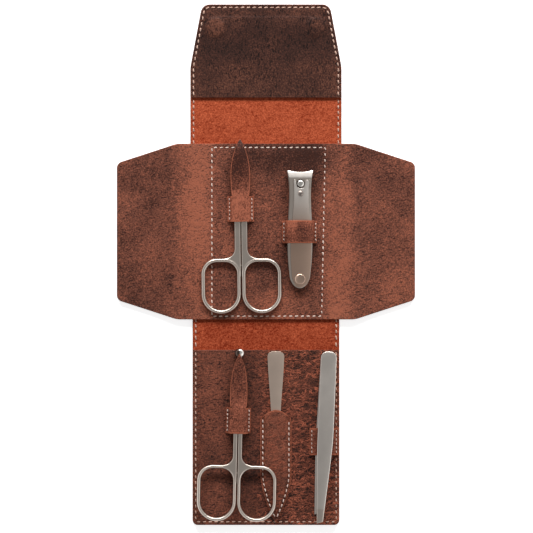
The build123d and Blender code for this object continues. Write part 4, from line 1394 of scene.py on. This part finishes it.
upper_run = [(-TW_LEN - 1, 4.05), (-TW_LEN, 4.1), (-TW_LEN * 0.818, 4.5), (-TW_LEN * 0.577, 4.4)]
upper_run += [(-TW_LEN * 0.335, 3.5), (-TW_HEEL - 3, 1.45), (-TW_HEEL, 1.22), (1, 1.2)]
upper_height = line_height(soften(upper_run))
upper_cuts = [*np.linspace(-TW_LEN + 3, -TW_HEEL, 34), -6.0]
upper_leg = plate(leg_outline(TW_LEN), 1.0, 0.42, upper_cuts, upper_height, 3)
for v in upper_leg.verts:
    v.co.z -= 0.5 * smooth(-v.co.y, TW_LEN - 9.5, TW_LEN) * (v.co.z - upper_height(v.co.y))
metal_object(
    "tweezers_upper_leg",
    [upper_leg],
    [tweezer_steel, satin],
    "tweezers_leg",
    lie_tweezers,
    lambda c, n: int(c.y < 7.5 - TW_LEN - 0.35 * c.x),
)
lower_leg = plate(leg_outline(TW_LOW_LEN), 1.0, 0.2, np.linspace(-TW_LOW_LEN + 4, -6, 12))
metal_object(
    "tweezers_lower_leg",
    [lower_leg],
    [tweezer_steel, polished],
    "tweezers",
    lambda points: lie_tweezers(moved(points, 0, 0, -0.9)),
)

# ---- metal parts of the frame that keep their own shape ----
FINISHES = {"magnet": magnet_metal, "keeper": keeper_metal, "screw": polished, "rivet": polished}
for name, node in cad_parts.items():
    finish = next((metal for word, metal in FINISHES.items() if word in name), satin)
    for slot in node.material_slots:
        slot.material = finish

# ---- floor, light and camera ----
bpy.ops.mesh.primitive_plane_add(size=4.0, location=(0, 0, -0.0003))
floor = bpy.context.object
floor.name = "floor"
paper = surface("floor_paper")
glowing = paper.times(paper.seen(paper.add("ShaderNodeLightPath").outputs), 0.72)
for key, value in (
    ("Base Color", (0.9, 0.9, 0.9, 1.0)),
    ("Roughness", 1.0),
    ("Specular IOR Level", 0.0),
    ("Emission Color", (1.0, 1.0, 1.0, 1.0)),
    ("Emission Strength", glowing),
):
    paper.put(paper.shader.inputs[key], value)
floor.data.materials.append(paper.owner)

world = bpy.data.worlds.new("studio")
bpy.context.scene.world = world
sky = Graph(world)
aside, _, height = sky.parts(sky.add("ShaderNodeTexCoord").outputs["Generated"])
rays = sky.add("ShaderNodeLightPath").outputs
glow = sky.times(sky.step(height, 0.35, 0.92, 1.0, 0.42), sky.sum(0.38, (sky.seen(rays), 0.62)))
cards = sky.times(sky.band(height, 0.3, 0.66, 0.1), sky.step(sky.math("ABSOLUTE", aside), 0.5, 0.72))
cards = sky.times(cards, rays["Is Glossy Ray"])
background = sky.add("ShaderNodeBackground", {"Strength": sky.sum(glow, (cards, 0.75))})
sky.add("ShaderNodeOutputWorld", {0: background.outputs[0]})


def lamp(name, place, wide, high, power):
    """A soft area lamp that looks at the case."""
    light = bpy.data.lights.new(name, "AREA")
    light.shape = "RECTANGLE"
    light.size, light.size_y, light.energy = wide, high, power
    obj = link(name, light)
    obj.location = place
    obj.rotation_mode = "QUATERNION"
    obj.rotation_quaternion = (-Vector(place)).to_track_quat("-Z", "Y")


lamp("key_lamp", (0.02, 1.2, 0.72), 1.5, 0.4, 31.0)
lamp("fill_lamp", (0.8, -0.5, 0.9), 0.9, 0.9, 1.5)

DISTANCE, VIEW_WIDE, SENSOR = 1.4, 0.2958, 36.0
AIM_X, AIM_Y, AIM_Z = 0.0003, -0.001, 0.003
camera = bpy.data.cameras.new("camera")
camera.sensor_width = SENSOR
camera.lens = SENSOR * DISTANCE / VIEW_WIDE
camera.clip_start, camera.clip_end = 0.05, 20.0
viewer = link("camera", camera)
viewer.location = (AIM_X, AIM_Y, DISTANCE + AIM_Z)
bpy.context.scene.camera = viewer
bpy.context.scene.view_settings.view_transform = "Standard"
